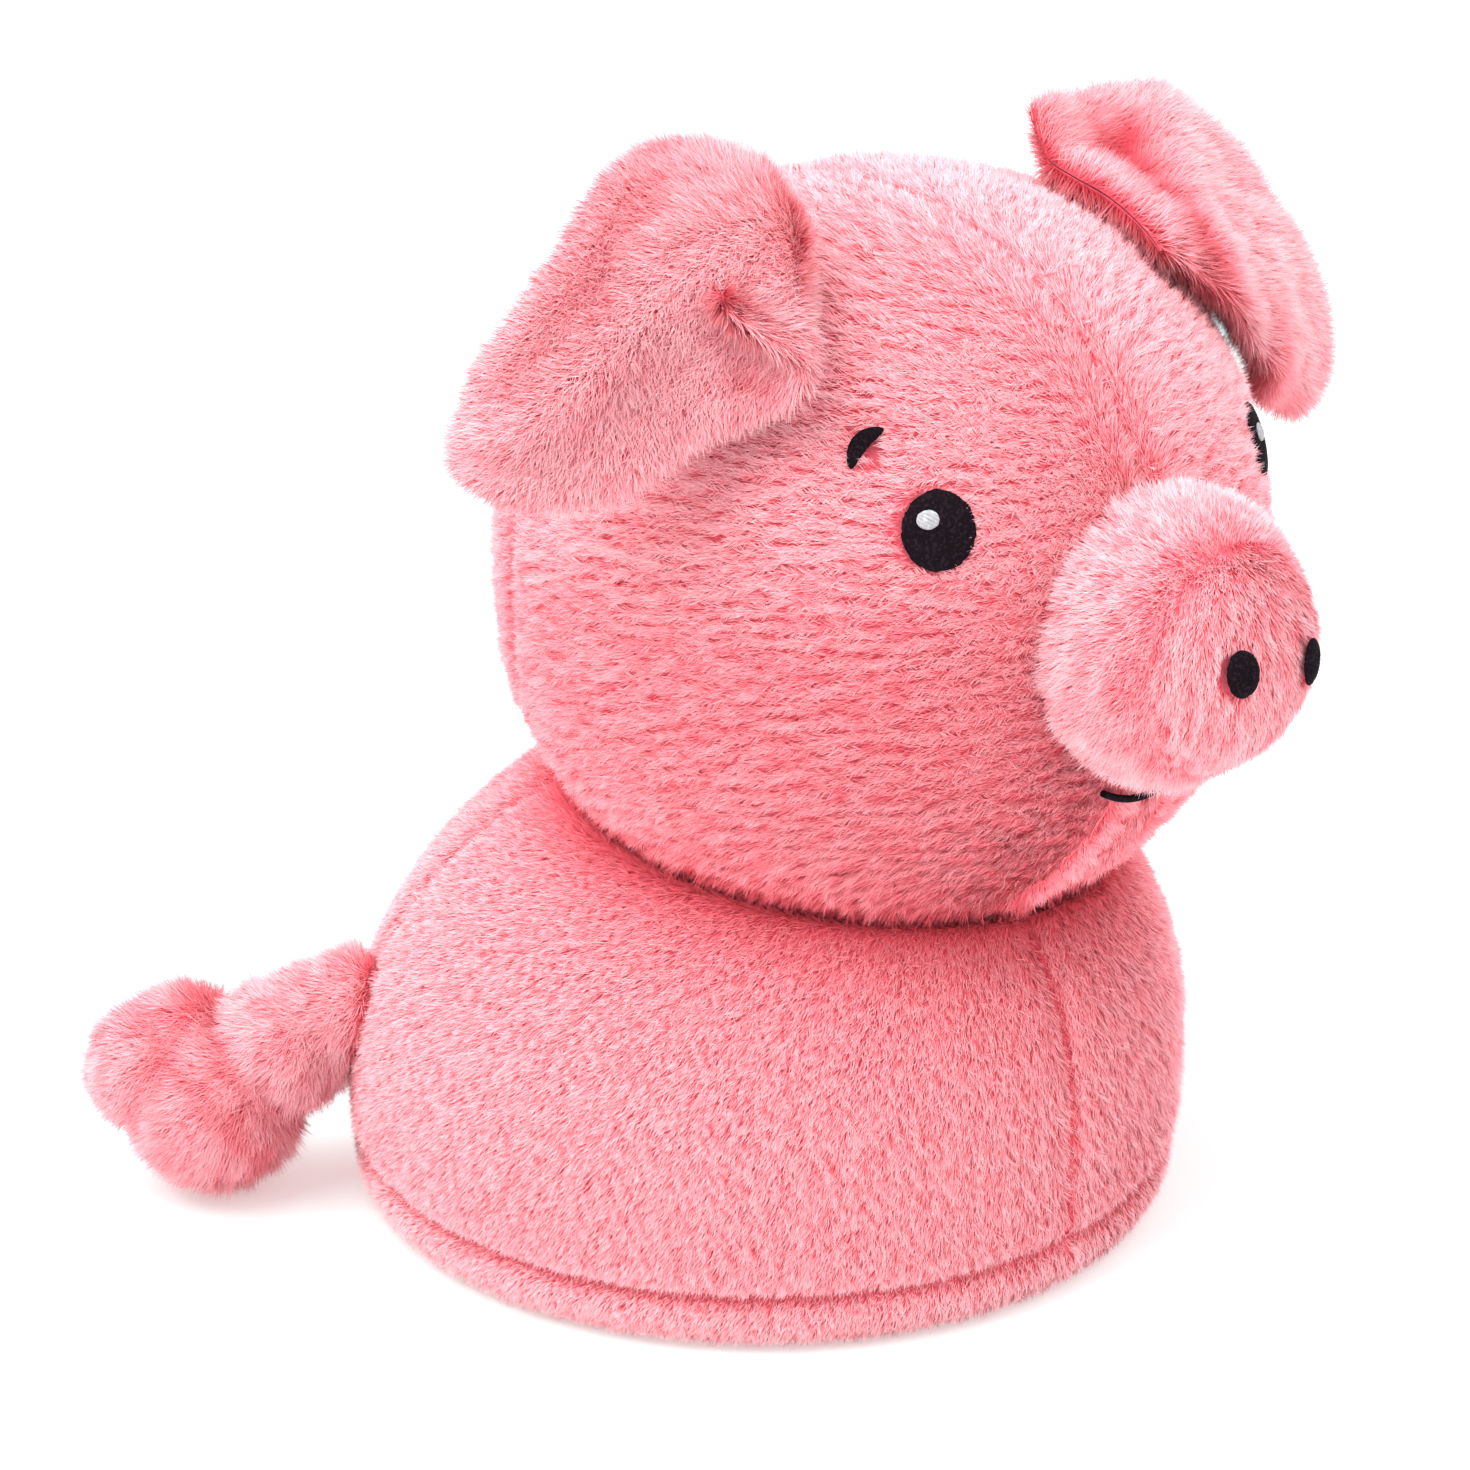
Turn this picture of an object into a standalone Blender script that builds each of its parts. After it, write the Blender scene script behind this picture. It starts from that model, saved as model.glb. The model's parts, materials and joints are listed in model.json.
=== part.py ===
"""Sitting plush pig: cloth panels over soft filling, with folded ears and a curled tail.

Metres, +Z up. The origin is the middle of the base, where the pig stands, and the chest
faces -Y. The head is a ball that turns and nods in the hollow top of the body, and it
rests turned towards the pig's own right. Outer sizes include the pile of the cloth.
"""

import math

import bmesh
import bpy
from mathutils import Vector

MM = 0.001

# Clearances and cloth
GAP = 0.3 * MM
BALL_GAP = 0.6 * MM
DISH_GAP = 1.1 * MM
WELD = 0.01 * MM
CLOTH = 1.6 * MM
SEAM_DEPTH = 0.6 * MM
SEAM_REACH = 2.6 * MM

# Body
BODY_RADIUS = 47.2 * MM
BODY_WAIST = 15.0 * MM
BODY_RISE = 42.2 * MM
BODY_LEAN = 4.6 * MM
BASE_DEPTH = 20.0 * MM
BASE_SEAM = 6.2 * MM
BASE_SQUARENESS = 5.0
CHEST_SEAM_ANGLE = math.radians(34.0)
BACK_SEAM_TURN = math.radians(15.0)

# Pellet bag in the seat
PELLET_RADIUS = 27.0 * MM
PELLET_HEIGHT = 9.0 * MM

# Head
HEAD_RADIUS = 42.3 * MM
HEAD_HEIGHT = 77.8 * MM
HEAD_FORWARD = 12.8 * MM
HEAD_TURN = math.radians(37.0)
JOWL_SWELL = 2.1 * MM
JOWL_TOP = math.radians(2.0)
JOWL_SPREAD = math.radians(34.0)
CROWN_DROP = 2.4 * MM
CROWN_START = math.radians(35.0)
NAPE_SEAM_ANGLE = math.radians(114.5)

# Sewn ring inside the neck
NECK_CLOTH = 2.0 * MM
NECK_INNER_ANGLE = math.radians(15.0)
NECK_OUTER_ANGLE = math.radians(30.0)

# Snout
SNOUT_BASE_RADIUS = 15.7 * MM
SNOUT_RIM_RADIUS = 13.5 * MM
SNOUT_REACH = 51.0 * MM
SNOUT_SWELL = 0.7 * MM
SNOUT_DOME = 7.5 * MM

# Embroidery
THREAD = 0.6 * MM
EYE_WIDTH = 7.8 * MM
EYE_HEIGHT = 8.4 * MM
EYE_ANGLE = math.radians(36.0)
EYE_ELEVATION = math.radians(20.5)
GLINT_WIDTH = 2.4 * MM
GLINT_HEIGHT = 2.0 * MM
GLINT_SHARES = (0.15, 0.13)
BROW_LENGTH = 5.4 * MM
BROW_ANGLE = math.radians(47.0)
BROW_ELEVATION = math.radians(32.0)
BROW_SLOPE = math.radians(52.0)
BROW_ARCH = 0.9 * MM
BROW_THICKNESS = 1.3 * MM
NOSTRIL_WIDTH = 3.5 * MM
NOSTRIL_HEIGHT = 5.1 * MM
NOSTRIL_SPACING = 10.4 * MM
NOSTRIL_RISE = 0.9 * MM
NOSTRIL_TILT = math.radians(8.0)
MOUTH_WIDTH = 13.0 * MM
MOUTH_RISE = 2.2 * MM
MOUTH_ELEVATION = math.radians(-25.0)
MOUTH_THICKNESS = 0.9 * MM

# Ears
EAR_LENGTH = 43.5 * MM
EAR_BACK_WIDTH = 12.5 * MM
EAR_RIGHT_FRONT_WIDTH = 18.0 * MM
EAR_LEFT_FRONT_WIDTH = 14.0 * MM
EAR_ROOT_GAP = 0.5 * MM
EAR_ANGLE = math.radians(66.0)
EAR_ELEVATION = math.radians(56.0)
EAR_RIGHT_SHARES = ((-0.25, 0.26, 0.21), (-0.02, 0.75, -0.25), (-0.18, 0.92, -0.15))
EAR_LEFT_SHARES = ((0.02, 0.30, 0.02), (0.06, 0.66, -0.22), (0.08, 0.78, -0.76))
EAR_ROOT_WIDTH_SHARE = 0.74
EAR_WIDEST_SHARE = 0.25
EAR_TIP_WIDTH_SHARE = 0.38
EAR_TIP_BLUNT_SHARE = 0.9
EAR_STEP_SHARE = 0.01
EAR_HINGE_SHARE = -0.15
EAR_ROOT_RUN_SHARES = (0.77, 0.46, -0.43)
EAR_RUN_SHARES = (0.52, 0.0, -0.86)
EAR_TURN_SHARE = 0.6
EAR_CUP = 4.0 * MM
EAR_REST_SOFTNESS = 1.2 * MM
EAR_LAYER = 1.5 * MM

# Tail
TAIL_ROOT_HEIGHT = 16.5 * MM
TAIL_LENGTH = 29.5 * MM
TAIL_RADIUS = 11.2 * MM
TAIL_ROOT_RADIUS = 8.5 * MM
TAIL_SWING = 0.8 * MM
TAIL_GROOVE = 2.0 * MM
TAIL_GROOVE_WIDTH = 2.6 * MM
TAIL_TURNS = 2.2
TAIL_START = math.radians(120.0)
TAIL_SIDE_ANGLE = math.radians(15.0)
TAIL_GROWN_SHARE = 0.4
TAIL_FLOOR_GAP = 0.3 * MM
TAIL_OPENING = 0.45 * MM

# Facets round and along each piece
PANEL_ROWS = 9
CHEST_STEPS = 9
RIGHT_SIDE_STEPS = 15
LEFT_SIDE_STEPS = 17
BALL_STEPS = 36
BASE_ROWS = 5
FILLING_STEPS = 20
FILLING_ROWS = 18
BAG_ROWS = 4
RING_ROWS = 3
HEAD_STEPS = 16
HEAD_ROWS = 10
NAPE_STEPS = 32
NAPE_ROWS = 6
SNOUT_STEPS = 28
SNOUT_ROWS = 4
DISC_ROWS = 5
PAD_STEPS = 16
BROW_STEPS = 6
MOUTH_STEPS = 12
EAR_STEPS = 8
EAR_ROWS = 10
TAIL_STEPS = 14
TAIL_ROWS = 20
TAIL_FILLING_STEPS = 12
TAIL_FILLING_ROWS = 16

# Directions and shares
FORWARD = Vector((0.0, -1.0, 0.0))
RIGHT = Vector((-1.0, 0.0, 0.0))
UP = Vector((0.0, 0.0, 1.0))
HALF_SHARE = 0.5
ROOM_ROWS_SHARE = 0.3
FULL_TURN = math.radians(360.0)

# Colours: linear red, green and blue, then roughness
PLUSH_PINK = ((0.95, 0.38, 0.41), 0.95)
PLUSH_SNOUT = ((0.93, 0.35, 0.39), 0.95)
THREAD_BLACK = ((0.012, 0.006, 0.008), 0.45)
THREAD_WHITE = ((0.72, 0.71, 0.74), 0.5)
FIBRE_WHITE = ((0.85, 0.84, 0.82), 0.9)
BAG_GREY = ((0.55, 0.54, 0.52), 0.8)

COLLECTION_NAME = "plush_pig"


def clear_scene():
    for old in list(bpy.data.objects):
        bpy.data.objects.remove(old, do_unlink=True)


def new_collection(name):
    made = bpy.data.collections.new(name)
    bpy.context.scene.collection.children.link(made)
    return made


def finish(name, look):
    """A plain material for one piece."""
    colour, roughness = look
    material = bpy.data.materials.new(name)
    material.use_nodes = True
    shader = material.node_tree.nodes["Principled BSDF"]
    shader.inputs["Base Color"].default_value = (*colour, 1.0)
    shader.inputs["Roughness"].default_value = roughness
    shader.inputs["Metallic"].default_value = 0.0
    return material


def pivot(name, place, parent=None, turn=0.0):
    """An empty that a moving group hangs from."""
    empty = bpy.data.objects.new(name, None)
    empty.location = place
    empty.rotation_euler = (0.0, 0.0, turn)
    empty.parent = parent
    parts.objects.link(empty)
    return empty


def add_piece(name, bm, look, parent=None, origin=Vector()):
    """Make a bmesh into a named object, with its mesh measured from its origin."""
    bmesh.ops.translate(bm, verts=bm.verts, vec=-origin)
    mesh = bpy.data.meshes.new(name)
    bm.to_mesh(mesh)
    bm.free()
    mesh.shade_smooth()
    mesh.materials.append(finish(name, look))
    piece = bpy.data.objects.new(name, mesh)
    piece.location = origin
    piece.parent = parent
    parts.objects.link(piece)
    return piece


def thicken(piece, thickness, outwards=False):
    """Give a sheet its wall, inwards unless told otherwise."""
    wall = piece.modifiers.new("wall", "SOLIDIFY")
    wall.thickness = thickness
    wall.offset = 1.0 if outwards else -1.0
    wall.use_even_offset = True
    return piece


def smooth(share):
    """Rise from 0 to 1 with no corner at either end."""
    share = min(max(share, 0.0), 1.0)
    return share * share * (3.0 - 2.0 * share)


def between(start, end, share):
    return start + (end - start) * share


def sheet(across, along, place, inside=None):
    """A grid bent by place(s, t), with s across it and t along it, each from 0 to 1.

    Its faces look away from inside. Edges that meet are welded, so a full turn closes.
    """
    bm = bmesh.new()
    bmesh.ops.create_grid(bm, x_segments=across, y_segments=along, size=HALF_SHARE)
    for vert in bm.verts:
        vert.co = place(vert.co.x + HALF_SHARE, vert.co.y + HALF_SHARE)
    bmesh.ops.remove_doubles(bm, verts=bm.verts, dist=WELD)
    bare = [edge for edge in bm.edges if not edge.link_faces]
    bmesh.ops.delete(bm, geom=bare, context="EDGES")
    bm.normal_update()
    if inside is not None:
        looks = (f.normal.dot(f.calc_center_median() - inside) * f.calc_area() for f in bm.faces)
        if sum(looks) < 0.0:
            bmesh.ops.reverse_faces(bm, faces=bm.faces)
            bm.normal_update()
    return bm


def row_of(profile, t):
    """The point of a profile that belongs to a row of a sheet."""
    return profile[round(t * (len(profile) - 1))]


def seam_dip(distance):
    """How far the cloth is drawn in at this distance from a seam."""
    return SEAM_DEPTH * math.exp(-((distance / SEAM_REACH) ** 2))


# Body


def body_point(azimuth, rise, inset=0.0, sewn=True):
    """A point of the body's skin.

    azimuth goes from the chest towards the pig's right, and rise from -90 degrees at the
    middle of the base to 90 degrees at the top.
    """
    out = BODY_RADIUS - inset
    if rise >= 0.0:
        height = BODY_WAIST + (BODY_RISE - inset) * math.sin(rise)
        out *= math.cos(rise)
    else:
        blunt = 2.0 / BASE_SQUARENESS
        height = BODY_WAIST - (BASE_DEPTH - inset) * abs(math.sin(rise)) ** blunt
        out *= max(math.cos(rise), 0.0) ** blunt
    if sewn:
        seams = (CHEST_SEAM_ANGLE, -CHEST_SEAM_ANGLE, math.pi - BACK_SEAM_TURN)
        nearest = min(abs(math.remainder(azimuth - seam, FULL_TURN)) for seam in seams)
        at_side = smooth((height - BASE_SEAM) / BASE_SEAM)
        out -= seam_dip(nearest * out) * at_side
    height = max(height, inset)
    lean = BODY_LEAN * max(height - BODY_WAIST, 0.0) / BODY_RISE
    return Vector((-out * math.sin(azimuth), -lean - out * math.cos(azimuth), height))


def solve(is_past, low, high, steps=40):
    """The value between low and high where is_past turns true."""
    for _ in range(steps):
        middle = between(low, high, HALF_SHARE)
        if is_past(middle):
            high = middle
        else:
            low = middle
    return low


def collar_rise(azimuth):
    """Where the body's skin meets the hollow that the head turns in."""
    reach = ball_radius() + BALL_GAP
    return solve(lambda rise: (body_point(azimuth, rise) - HEAD_CENTRE).length < reach, 0.0, math.pi / 2)


def base_rise(height):
    """Where the body's skin is this high, below the waist."""
    return -solve(lambda fall: body_point(0.0, -fall).z < height, 0.0, math.pi / 2)


def side_panel(name, start, end, across):
    """One upright panel, from the base seam to the collar."""
    edge = math.asin(GAP / 2.0 / BODY_RADIUS)
    low = base_rise(BASE_SEAM + GAP / 2.0)

    def place(s, t):
        azimuth = between(start + edge, end - edge, s)
        return body_point(azimuth, between(low, collar_rise(azimuth), t))

    bm = sheet(across, PANEL_ROWS, place, BODY_MIDDLE)
    return thicken(add_piece(name, bm, PLUSH_PINK), CLOTH)


def base_panel():
    """The round panel that the pig sits on."""
    high = base_rise(BASE_SEAM - GAP / 2.0)

    def place(s, t):
        return body_point(FULL_TURN * s, between(high, -math.pi / 2, t * t))

    bm = sheet(BALL_STEPS, BASE_ROWS, place, BODY_MIDDLE)
    return thicken(add_piece("base_panel", bm, PLUSH_PINK), CLOTH)


def body_filling():
    """Fibre that fills the body: dished on top for the head, hollow below for the pellets."""
    inset = CLOTH + GAP + SEAM_DEPTH
    dish = ball_radius() + BALL_GAP + NECK_CLOTH + DISH_GAP
    room = PELLET_RADIUS + GAP
    room_height = PELLET_HEIGHT + GAP

    def skin(azimuth, rise):
        return body_point(azimuth, rise, inset, False)

    rim = -solve(lambda fall: skin(0.0, -fall).xy.length < room, 0.0, math.pi / 2)

    def place(s, t):
        azimuth = FULL_TURN * s
        if t < ROOM_ROWS_SHARE:
            angle = t / ROOM_ROWS_SHARE * math.pi / 2
            point = skin(azimuth, -math.pi / 2) + UP * (room_height * math.cos(angle))
            point.xy = skin(azimuth, rim).xy * math.sin(angle)
            return point
        past = (t - ROOM_ROWS_SHARE) / (1.0 - ROOM_ROWS_SHARE)
        point = skin(azimuth, between(rim, math.pi / 2, past))
        off_axis = math.hypot(point.x, point.y - HEAD_CENTRE.y)
        if off_axis < dish and point.z > BODY_WAIST:
            point.z = min(point.z, HEAD_CENTRE.z - math.sqrt(dish**2 - off_axis**2))
        return point

    bm = sheet(FILLING_STEPS, FILLING_ROWS, place, BODY_MIDDLE)
    return add_piece("body_filling", bm, FIBRE_WHITE)


def pellet_bag():
    """A flat bag of plastic pellets in the seat, domed on top."""
    floor = CLOTH + GAP
    flat = [(PELLET_RADIUS * k / BAG_ROWS, 0.0) for k in range(BAG_ROWS)]
    angles = [math.pi / 2 * k / BAG_ROWS for k in range(BAG_ROWS + 1)]
    top = PELLET_HEIGHT - GAP
    dome = [(PELLET_RADIUS * math.cos(angle), top * math.sin(angle)) for angle in angles]
    profile = flat + dome

    def place(s, t):
        out, height = row_of(profile, t)
        return Vector((out * math.cos(FULL_TURN * s), out * math.sin(FULL_TURN * s), floor + height))

    bm = sheet(FILLING_STEPS, len(profile) - 1, place, UP * between(floor, PELLET_HEIGHT, HALF_SHARE))
    return add_piece("pellet_bag", bm, BAG_GREY)


# Neck


def ball_radius():
    """The widest reach of the head's ball, which its hollow in the body clears."""
    return HEAD_RADIUS + JOWL_SWELL


def neck_ring(parent):
    """The turned-in ring of cloth that the head is sewn to the body with."""
    inner = ball_radius() + BALL_GAP
    outer = inner + NECK_CLOTH
    shares = [k / RING_ROWS for k in range(RING_ROWS + 1)]
    arc = [(inner, between(NECK_INNER_ANGLE, NECK_OUTER_ANGLE, share)) for share in shares]
    back = [(outer, between(NECK_OUTER_ANGLE, NECK_INNER_ANGLE, share)) for share in shares]
    profile = arc + back + arc[:1]

    def place(s, t):
        reach, angle = row_of(profile, t)
        out, turn = reach * math.sin(angle), FULL_TURN * s
        return Vector((out * math.cos(turn), out * math.sin(turn), -reach * math.cos(angle)))

    bm = sheet(BALL_STEPS, len(profile) - 1, place)
    bmesh.ops.recalc_face_normals(bm, faces=bm.faces)
    return add_piece("neck_seam_ring", bm, PLUSH_PINK, parent)


# Head, measured from its own centre with its face towards -Y


def head_radius(direction):
    """Full jowls low on the head, and a flatter crown on top."""
    elevation = math.asin(min(max(direction.z, -1.0), 1.0))
    jowl = smooth((JOWL_TOP - elevation) / JOWL_SPREAD)
    crown = smooth((elevation - CROWN_START) / (math.pi / 2 - CROWN_START))
    return HEAD_RADIUS + JOWL_SWELL * jowl - CROWN_DROP * crown


def head_direction(polar, roll):
    """polar opens from the snout's axis; roll goes from the top towards the pig's right."""
    across = UP * math.cos(roll) + RIGHT * math.sin(roll)
    return FORWARD * math.cos(polar) + across * math.sin(polar)


def facing_direction(angle, elevation):
    """angle goes from the face towards the pig's right; elevation goes up."""
    level = FORWARD * math.cos(angle) + RIGHT * math.sin(angle)
    return level * math.cos(elevation) + UP * math.sin(elevation)


def head_surface(direction, inset=0.0):
    return direction * (head_radius(direction) - inset)


def head_point(polar, roll):
    """A point of the head's skin, drawn in at its seams."""
    direction = head_direction(polar, roll)
    point = head_surface(direction)
    dip = seam_dip(abs(point.x)) + seam_dip((polar - NAPE_SEAM_ANGLE) * HEAD_RADIUS)
    return point - direction * min(dip, SEAM_DEPTH)


def opening_polar(lateral, roll):
    """Where the head's skin is this far from the snout's axis."""
    return solve(lambda polar: head_point(polar, roll).length * math.sin(polar) > lateral, 0.0, math.pi / 2)


def head_panel(name, side, parent):
    """One cheek: from the snout's opening back to the back seam, and from the crown to the neck."""

    def place(s, t):
        roll = math.pi * s
        opening = opening_polar(SNOUT_BASE_RADIUS + GAP, roll)
        polar = between(opening, NAPE_SEAM_ANGLE - GAP / 2.0 / HEAD_RADIUS, t)
        edge = math.asin(GAP / 2.0 / (HEAD_RADIUS * math.sin(polar)))
        return head_point(polar, side * between(edge, math.pi - edge, s))

    bm = sheet(HEAD_STEPS, HEAD_ROWS, place, Vector())
    return thicken(add_piece(name, bm, PLUSH_PINK, parent), CLOTH)


def head_back_panel(parent):
    """The round panel at the back of the head."""
    edge = NAPE_SEAM_ANGLE + GAP / 2.0 / HEAD_RADIUS

    def place(s, t):
        return head_point(between(edge, math.pi, t), FULL_TURN * s)

    bm = sheet(NAPE_STEPS, NAPE_ROWS, place, -FORWARD * HEAD_RADIUS / 2.0)
    return thicken(add_piece("head_back_panel", bm, PLUSH_PINK, parent), CLOTH)


def head_filling(parent):
    inset = CLOTH + GAP + SEAM_DEPTH

    def place(s, t):
        return head_surface(head_direction(math.pi * t, FULL_TURN * s), inset)

    bm = sheet(FILLING_STEPS, HEAD_ROWS, place, Vector())
    return add_piece("head_filling", bm, FIBRE_WHITE, parent)


# Snout, on the head's own axis


def dome_radius():
    return (SNOUT_RIM_RADIUS**2 + SNOUT_DOME**2) / (2.0 * SNOUT_DOME)


def dome_reach(lateral):
    """How far forward the snout's disc is, this far from its axis."""
    radius = dome_radius()
    return SNOUT_REACH + SNOUT_DOME - radius + math.sqrt(radius**2 - lateral**2)


def snout_place(forward, lateral, roll):
    return FORWARD * forward + (UP * math.cos(roll) + RIGHT * math.sin(roll)) * lateral


def snout_wall(parent):
    """The band of cloth round the snout."""
    taper = (SNOUT_BASE_RADIUS - SNOUT_RIM_RADIUS) / (SNOUT_REACH - HEAD_RADIUS)
    rim_lean = math.sin(math.atan(taper))
    disc_lean = math.sqrt(1.0 - (SNOUT_RIM_RADIUS / dome_radius()) ** 2)
    front = SNOUT_REACH - GAP - CLOTH * max(disc_lean - rim_lean, 0.0)

    def place(s, t):
        roll = FULL_TURN * s
        polar = opening_polar(SNOUT_BASE_RADIUS, roll)
        back = head_point(polar, roll).length * math.cos(polar) + GAP
        lateral = between(SNOUT_BASE_RADIUS, SNOUT_RIM_RADIUS, t) + SNOUT_SWELL * math.sin(math.pi * t)
        return snout_place(between(back, front, t), lateral, roll)

    bm = sheet(SNOUT_STEPS, SNOUT_ROWS, place, FORWARD * HEAD_RADIUS)
    return thicken(add_piece("snout_wall", bm, PLUSH_PINK, parent), CLOTH)


def snout_disc(parent):
    """The domed round end of the snout."""

    def place(s, t):
        lateral = SNOUT_RIM_RADIUS * math.cos(t * math.pi / 2)
        return snout_place(dome_reach(lateral), lateral, FULL_TURN * s)

    bm = sheet(SNOUT_STEPS, DISC_ROWS, place, FORWARD * HEAD_RADIUS)
    return thicken(add_piece("snout_disc", bm, PLUSH_SNOUT, parent), CLOTH)


def snout_filling(parent):
    """Fibre between the head's filling and the snout's disc."""
    inset = CLOTH + GAP + SEAM_DEPTH
    back_radius = HEAD_RADIUS - inset + JOWL_SWELL
    base, rim = SNOUT_BASE_RADIUS - inset, SNOUT_RIM_RADIUS - inset
    shares = [k / SNOUT_ROWS for k in range(SNOUT_ROWS + 1)]

    def bowl(lateral):
        return math.sqrt(back_radius**2 - lateral**2) + GAP

    def nose(lateral):
        return dome_reach(lateral) - inset

    back = [(bowl(base * share), base * share) for share in shares]
    front = [(nose(rim * share), rim * share) for share in reversed(shares)]
    profile = back + front

    def place(s, t):
        forward, lateral = row_of(profile, t)
        return snout_place(forward, lateral, FULL_TURN * s)

    middle = FORWARD * between(HEAD_RADIUS, SNOUT_REACH, HALF_SHARE)
    bm = sheet(FILLING_STEPS, len(profile) - 1, place, middle)
    return add_piece("snout_filling", bm, FIBRE_WHITE, parent)


# Embroidery: pads and cords of thread that lie just clear of the cloth


def pad(name, width, height, place, look, parent):
    """An oval of thread: place(across, up) is a point of the cloth under it."""
    bm = bmesh.new()
    bmesh.ops.create_circle(bm, cap_ends=True, segments=PAD_STEPS, radius=1.0)
    bmesh.ops.inset_region(bm, faces=bm.faces[:], thickness=HALF_SHARE, use_even_offset=False)
    for vert in bm.verts:
        vert.co = place(vert.co.x * width / 2.0, vert.co.y * height / 2.0)
    bm.normal_update()
    middle = sum((vert.co for vert in bm.verts), Vector()) / len(bm.verts)
    if sum(f.normal.dot(middle) for f in bm.faces) < 0.0:
        bmesh.ops.reverse_faces(bm, faces=bm.faces)
    return thicken(add_piece(name, bm, look, parent), THREAD, outwards=True)


def on_head(angle, elevation, lift):
    """A function that lays an offset across and up, in metres, on the head's skin."""

    def place(across, up):
        turned = angle - across / (HEAD_RADIUS * math.cos(elevation))
        return head_surface(facing_direction(turned, elevation + up / HEAD_RADIUS), -lift)

    return place


def on_disc(side, lift):
    """Offsets from a nostril's middle. The disc is sewn on a little turned."""
    line = RIGHT * math.cos(NOSTRIL_TILT) + UP * math.sin(NOSTRIL_TILT)

    def place(across, up):
        lateral = line * (side * NOSTRIL_SPACING / 2.0) - RIGHT * across + UP * (NOSTRIL_RISE + up)
        return FORWARD * (dome_reach(lateral.length) + lift) + lateral

    return place


def thread_cord(name, points, thickness, parent):
    """A round stroke of stitching along a few points."""
    curve = bpy.data.curves.new(name, "CURVE")
    curve.dimensions = "3D"
    curve.bevel_depth = thickness / 2.0
    curve.bevel_resolution = 1
    curve.use_fill_caps = True
    spline = curve.splines.new("POLY")
    spline.points.add(len(points) - 1)
    for slot, point in zip(spline.points, points):
        slot.co = (*point, 1.0)
    curve.materials.append(finish(name, THREAD_BLACK))
    piece = bpy.data.objects.new(name, curve)
    piece.parent = parent
    parts.objects.link(piece)
    return piece


def eye(name, side, parent):
    place = on_head(side * EYE_ANGLE, EYE_ELEVATION, GAP)
    return pad(name, EYE_WIDTH, EYE_HEIGHT, place, THREAD_BLACK, parent)


def glint(name, side, parent):
    """The white stitches on an eye, towards its upper inner corner as the photograph lights it."""
    base = on_head(side * EYE_ANGLE, EYE_ELEVATION, THREAD + 2.0 * GAP)

    def place(across, up):
        return base(across - GLINT_SHARES[0] * EYE_WIDTH, up + GLINT_SHARES[1] * EYE_HEIGHT)

    return pad(name, GLINT_WIDTH, GLINT_HEIGHT, place, THREAD_WHITE, parent)


def brow(name, side, parent):
    """A short curved stroke above the eye, falling outwards."""
    place = on_head(side * BROW_ANGLE, BROW_ELEVATION, GAP + BROW_THICKNESS / 2.0)
    points = []
    for k in range(BROW_STEPS + 1):
        share = k / BROW_STEPS
        run = BROW_LENGTH * (share - HALF_SHARE)
        bow = BROW_ARCH * math.sin(math.pi * share)
        across = run * math.cos(BROW_SLOPE) - bow * math.sin(BROW_SLOPE)
        up = run * math.sin(BROW_SLOPE) + bow * math.cos(BROW_SLOPE)
        points.append(place(side * across, up))
    return thread_cord(name, points, BROW_THICKNESS, parent)


def mouth(parent):
    """A smile under the snout."""
    place = on_head(0.0, MOUTH_ELEVATION, GAP + MOUTH_THICKNESS / 2.0)
    points = []
    for k in range(MOUTH_STEPS + 1):
        across = between(-1.0, 1.0, k / MOUTH_STEPS)
        points.append(place(across * MOUTH_WIDTH / 2.0, MOUTH_RISE * across * across))
    return thread_cord("mouth", points, MOUTH_THICKNESS, parent)


# Ears


def bezier(points, t):
    """A point and a direction of travel on a cubic curve."""
    a, b, c, d = points
    u = 1.0 - t
    at = a * u**3 + b * 3.0 * u * u * t + c * 3.0 * u * t * t + d * t**3
    way = (b - a) * u * u + (c - b) * 2.0 * u * t + (d - c) * t * t
    return at, way.normalized()


def ear_frame(side, shares):
    """Shares forwards, outwards and up, as a vector on one side of the head."""
    return FORWARD * shares[0] + RIGHT * (side * shares[1]) + UP * shares[2]


def ear_root(side):
    """The middle of the seam that joins an ear to the head."""
    direction = facing_direction(side * EAR_ANGLE, EAR_ELEVATION)
    return head_surface(direction, -EAR_ROOT_GAP)


def ear_width_share(t):
    """Broad at the root, widest before the middle, and round at the tip."""
    if t < EAR_WIDEST_SHARE:
        grown = math.sin(t / EAR_WIDEST_SHARE * math.pi / 2)
        return between(EAR_ROOT_WIDTH_SHARE, 1.0, grown)
    past = (t - EAR_WIDEST_SHARE) / (1.0 - EAR_WIDEST_SHARE)
    rounding = math.sqrt(1.0 - EAR_TIP_BLUNT_SHARE * past**6)
    return between(1.0, EAR_TIP_WIDTH_SHARE, past) * rounding


def keep_off_head(point):
    """Lay a point of an ear on the head where it would sink in."""
    direction = point.normalized()
    least = head_surface(direction).length + EAR_ROOT_GAP + EAR_LAYER
    over = point.length - least
    return direction * (least + (over + math.hypot(over, EAR_REST_SOFTNESS)) / 2.0)


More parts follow.
